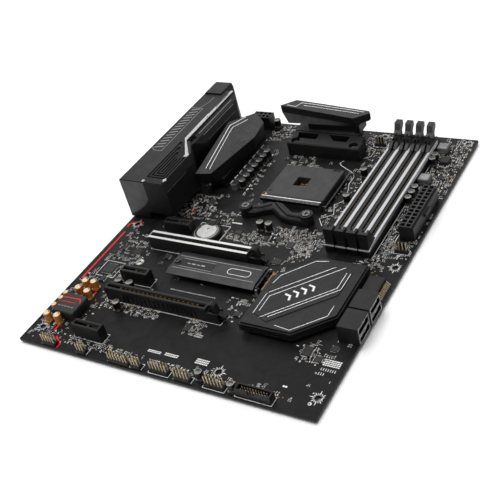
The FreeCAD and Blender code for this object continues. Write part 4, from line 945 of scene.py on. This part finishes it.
edges, tops, lids = Shape(), Shape(), Shape()
WIDE_CHOKE = 8.0        # wider chokes have a lid, and no painted edge highlight
lid_sizes = iter((7.4, 7.2))
for low, high in solids("power_chokes"):
    x, y, top = (low.x + high.x) / 2, (low.y + high.y) / 2, high.z
    if high.x - low.x < WIDE_CHOKE:
        tops.block(x + 0.2, y, 5.0, 5.2, top - 0.02, top + 0.03)
        # a bright strip over each choke's top edge: a painted highlight
        edges.block(x - 2.7, y, 0.7, 5.0, top - 0.3, top + 0.25)
    else:
        size = next(lid_sizes)
        lids.block(x, y, size, size, top, top + 0.1, bevel=0.06)
edges.piece("choke_edge_painted_highlights", "choke_grey", bright_solder_and_highlight)
tops.piece("choke_tops", "choke_grey", FINISHES["slot_plastic"])
lids.piece("choke_lids", "choke_grey", moulded("ferrite", 128, rough=0.6, grain=0.5, depth=0.04))

# ---- processor socket

PIN_PITCH = 1.27
COVER_FACE = 7.6        # the flat top of the sliding cover
holes = Shape()
for x in [108.0 + PIN_PITCH * i for i in range(40)]:
    for y in [192.5 + PIN_PITCH * i for i in range(34)]:
        round_it = [(x, y), (x + 0.7, y), (x - 0.7, y), (x, y + 0.7), (x, y - 0.7)]
        if all(abs(height("cpu_socket_cover", *spot, 0) - COVER_FACE) < 0.03 for spot in round_it):
            holes.disc(x, y, 0.34, COVER_FACE, COVER_FACE + 0.015, 6)
holes.piece("socket_pin_holes", "black_plastic", label_black, body="socket_cover")
# a bright strip along the cam plate's near edge: a painted highlight
strip = Shape()
strip.block(130.8, 190.6, 53.0, 0.7, 7.9, 7.96)
strip.piece("cam_plate_edge_painted_highlight", "plain_steel", FINISHES["silver_trim"])
bits = Shape()
for i in range(4):
    for j in range(3):
        if (i + j) % 2:
            bits.block(125.5 + 2.4 * i, 211.0 + 2.9 * j, 1.4, 0.8, 2.5, 3.1)
bits.piece("socket_window_parts", "tin", FINISHES["tin"])
pin_one = Shape()
pin_one.prism([(100.4, 203.0), (103.0, 203.0), (100.4, 207.0)], 0.0, 0.04)
pin_one.block(102.6, 206.6, 1.2, 0.6, 0.0, 0.3)
pin_one.piece("socket_pin_one_mark", "gold", FINISHES["gold"])
corner = Shape()
corner.prism([(105.6, 192.6), (108.4, 192.6), (105.6, 195.4)], COVER_FACE, COVER_FACE + 0.03)
corner.piece("socket_corner_mark", "gold", FINISHES["gold"], body="socket_cover")

# ---- heat sinks

silver = FINISHES["silver_trim"]


def inlaid(name, node, lines):
    """Bright lines let into a heat sink, each as its width and path."""
    made = Shape()
    for width, path in lines:
        made.inlay(node, path, width)
    made.piece(name, "silver_trim", silver)


inlaid("rear_heatsink_inlay", "rear_vrm_heatsink",
       [(0.55, [(50.3, 197.4), (40.9, 256.0), (46.6, 273.7)]),
        (0.45, [(53.4, 197.9), (44.2, 254.6), (49.9, 271.3)])])
inlaid("top_heatsink_inlay", "top_vrm_heatsink",
       [(0.55, [(82, 288.5), (90.6, 287.9), (93.3, 294.6), (101.5, 295.0), (152.0, 293.6)]),
        (0.4, [(96.7, 291.4), (148.5, 290.4)])])
CHIPSET_LINES = [
    [(167, 64), (167, 84), (203, 121)], [(170.5, 67), (170.5, 82), (210, 122)],
    [(173, 60.5), (213, 101), (213, 117)], [(179, 63), (216, 100.5), (216, 117)],
    [(187, 57.5), (199, 56), (218, 75), (218, 85)], [(166, 95), (168, 104), (186, 124), (195, 126)],
]
inlaid("chipset_heatsink_inlay", "chipset_heatsink", [(0.42, path) for path in CHIPSET_LINES])
emblem = Shape()
for i in range(4):
    x, y = 183.0 + 4.1 * i, 84.0 + 4.2 * i
    emblem.line([(x - 2.6, y + 2.6), (x + 1.7, y + 1.7), (x + 2.6, y - 2.6)], 1.5, 10.1, 10.16)
emblem.piece("chipset_heatsink_emblem", "silver_trim", print_white)

# ---- drive shield and socket

panel = Shape()
panel.block(97.5, 101.2, 28.2, 8.6, 6.66, 6.86, bevel=0.05)
panel.piece("drive_shield_label", "black_plastic", FINISHES["slot_plastic"], body="drive_shield")
bars = Shape()
for i in range(4):
    bars.block(90.0 + 4.2 * i, 101.2, 3.0, 0.7 + 0.5 * (i % 2), 6.86, 6.89)
for y in (94.6, 107.8):
    bars.block(114.0, y, 71.0, 0.36, 6.76, 7.02)
bars.block(97.5, 96.9, 28.8, 0.3, 6.98, 7.03)
bars.block(97.5, 105.5, 28.8, 0.3, 6.98, 7.03)
bars.piece("drive_shield_label_bars", "silver_trim", pale_print_and_highlight, body="drive_shield")
pill = Shape()
path = arc(140.5, 101.2, 3.1, -90, 180, 12) + arc(127.5, 101.2, 3.1, 90, 180, 12)
pill.line(path, 0.45, 6.75, 7.02, closed=True)
pill.piece("drive_shield_pill_ring", "silver_trim", silver, body="drive_shield")
tails = Shape()
for i in range(19):
    tails.block(158.4, 92.2 + i, 3.0, 0.42, 4.2, 4.28)
tails.piece("drive_socket_contacts", "gold", FINISHES["gold"])

# ---- rear port cover

pale = moulded("cover_panel_plastic", 52, rough=0.46, grain=0.3)
panel = Shape()
panel.upright([(-1.3, 3.0), (4.5, 5.4), (11.0, 9.2), (17.0, 14.0), (21.0, 18.0), (22.8, 21.0), (22.8, 37.0),
               (-0.9, 37.0), (-1.3, 36.4)], 149.9, 150.0)
panel.piece("cover_end_panel", "cover_plastic", pale)
# pale strips along two top edges of the cover: painted highlights
edge = Shape()
edge.block(44.525, 165.0, 0.45, 28.0, 29.8, 30.4)
edge.block(34.85, 253.5, 0.5, 47.0, 27.7, 28.2)
edge.piece("cover_edge_painted_highlights", "cover_plastic", pale)
fine = Shape()
COVER_LINES = [
    (0.5, [(0.6, 261.3), (12.4, 261.3), (12.4, 193.6), (4.4, 193.6), (0.6, 197.4)]),
    (0.4, [(8.8, 261.3), (12.6, 272.4), (12.6, 281.0)]),
    (0.4, [(28.8, 227), (28.8, 283)]), (0.4, [(31.9, 229), (31.9, 280)]),
]
for width, path in COVER_LINES:
    fine.inlay("rear_port_cover", path, width, rise=0.04)
for i in range(14):
    y = 199.0 + 4.6 * i
    fine.line([(2.8, y - 1.4), (10.2, y + 1.4)], 1.1, 38.0, 38.05)
fine.piece("cover_fine_lines", "cover_plastic", silk("cover_print", tint(148), tint(104)))
gaps = Shape()
gaps.block(24.4, 276, 0.9, 22, 38.5, 38.56)
gaps.block(25.3, 248.6, 1.6, 1.4, 38.5, 38.56)
gaps.piece("cover_strip_gaps", "black_plastic", label_black)

# ---- sockets, battery and audio shield

cell_rim_highlights = Shape()
CELL_TOP = 12.8
cells = [(231.9 + 4.4 * row, 173.0 + 4.22 * i, 1.9) for row in range(2) for i in range(12)]
cells += [(41.3 + 4.33 * i, 295.2 + 4.4 * row, 1.85) for row in range(2) for i in range(4)]
# a pale rim round each cell opening: painted highlights on the edges
for x, y, reach in cells:
    middle = Vector((x, y))
    cell_rim_highlights.line(framed(middle, middle, reach, 1.85), 0.28, CELL_TOP, CELL_TOP + 0.06, closed=True)
cell_rim_highlights.piece("power_socket_cell_rim_highlights", "black_plastic",
             moulded("rim_painted_highlight", 84, rough=0.5, grain=0.3))

opening_rim_highlights = Shape()
SATA_FACE, SATA_TONGUE = 244.56, 243.22
# pale rims round each opening and along the tongue: painted highlights on the edges
for y0 in (64.0, 83.0):
    for z in (1.4, 8.0):
        for low, high in ((z - 0.4, z), (z + 4.8, z + 5.2)):
            opening_rim_highlights.block(SATA_FACE, y0 + 8.8, 0.1, 15.4, low, high)
        for y in (y0 + 1.3, y0 + 16.3):
            opening_rim_highlights.block(SATA_FACE, y, 0.1, 0.4, z, z + 4.8)
        opening_rim_highlights.block(SATA_TONGUE, y0 + 8.7, 0.1, 10.8, z + 1.5, z + 1.75)
        opening_rim_highlights.block(SATA_TONGUE, y0 + 8.7, 0.1, 10.8, z + 2.65, z + 2.9)
        opening_rim_highlights.block(SATA_TONGUE, y0 + 3.9, 0.1, 0.3, z + 2.9, z + 4.2)
opening_rim_highlights.piece("sata_opening_rim_highlights", "black_plastic", moulded("edge_painted_highlight", 190, rough=0.5, grain=0.3))

SHIELD_TOP = 7.6        # the audio shield's top
stripes = Shape()
stripes.line([(13.3, 42.1), (29.1, 42.9), (31.2, 39.2)], 0.8, SHIELD_TOP, SHIELD_TOP + 0.04)
stripes.line([(14.1, 37.9), (27.0, 38.4)], 0.5, SHIELD_TOP, SHIELD_TOP + 0.04)
stripes.piece("audio_shield_stripes", "audio_shield", print_red)
label = Shape()
for i in range(5):
    label.block(15.5 + 3.1 * i, 33.6, 2.2, 1.1, SHIELD_TOP, SHIELD_TOP + 0.03)
label.piece("audio_shield_bars", "audio_shield", print_grey)

CELL_X, CELL_Y, CELL_FACE = 79.5, 141.8, 4.4
cell = Shape()
cell.ring(CELL_X, CELL_Y, 8.5, 9.35, CELL_FACE, CELL_FACE + 0.03, sides=48)
cell.ring(CELL_X, CELL_Y, 7.6, 8.7, CELL_FACE, CELL_FACE + 0.02, sides=48, start=150, sweep=120)
for size_x, size_y in ((3.2, 0.5), (0.5, 3.2)):
    cell.block(CELL_X, CELL_Y + 3.2, size_x, size_y, CELL_FACE, CELL_FACE + 0.03)
cell.piece("battery_face_marks", "battery_steel", FINISHES["dark_screw"])

# ---- stage and light

floor_z = min(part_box(n)[0].z for n in frame["nodes"])
bpy.ops.mesh.primitive_plane_add(size=6, location=(0.1, 0.13, floor_z - 0.0002))
floor = bpy.context.active_object
floor.name = "studio_floor"
paper = Finish("studio_paper", 0.9, specular=0.1)
floor.data.materials.append(paper.paint(tint(248), tint(252), 200.0).done())

world = bpy.data.worlds.new("studio")
world.use_nodes = True
nodes, links = world.node_tree.nodes, world.node_tree.links
direction = nodes.new("ShaderNodeTexCoord")
upward = nodes.new("ShaderNodeSeparateXYZ")
fade = nodes.new("ShaderNodeMapRange")
links.new(direction.outputs["Generated"], upward.inputs[0])
links.new(upward.outputs["Z"], fade.inputs["Value"])
# the backdrop is white low down and darker overhead
for socket, number in (("From Min", 0.18), ("From Max", 0.4), ("To Min", 1.0), ("To Max", 0.14)):
    fade.inputs[socket].default_value = number
nodes["Background"].inputs["Color"].default_value = (1, 1, 1, 1)
links.new(fade.outputs["Result"], nodes["Background"].inputs["Strength"])
scene = bpy.context.scene
scene.world = world
scene.view_settings.view_transform = "Standard"

sky = bpy.data.lights.new("ceiling_light", "SUN")
sky.energy = 2.75
sky.angle = math.radians(50)
put("ceiling_light", sky).rotation_euler = Vector((-0.10, -0.08, 1.0)).to_track_quat("Z", "Y").to_euler()
panel_light = bpy.data.lights.new("back_light", "AREA")
panel_light.size = 1.1
panel_light.energy = 5
lamp = put("back_light", panel_light)
lamp.location = (-0.5, 1.05, 0.85)
lamp.rotation_euler = (Vector((0.11, 0.135, 0.0)) - lamp.location).to_track_quat("-Z", "Y").to_euler()

# ---- camera

AZIMUTH, ELEVATION, ROLL = (math.radians(a) for a in (39.059, 36.717, -16.016))
back = Vector((math.cos(ELEVATION) * math.sin(AZIMUTH),
               -math.cos(ELEVATION) * math.cos(AZIMUTH),
               math.sin(ELEVATION)))
right = Vector((math.cos(AZIMUTH), math.sin(AZIMUTH), 0))
up = back.cross(right)
right, up = (math.cos(ROLL) * right + math.sin(ROLL) * up,
             -math.sin(ROLL) * right + math.cos(ROLL) * up)
lens = bpy.data.cameras.new("camera")
lens.sensor_width = 36
lens.lens = 63.15
lens.clip_start = 0.01
camera = put("camera", lens)
turn = Matrix((right, up, back)).transposed().to_4x4()
camera.matrix_world = Matrix.Translation((0.446756, -0.2941, 0.396664)) @ turn
scene.camera = camera

bpy.context.view_layer.update()
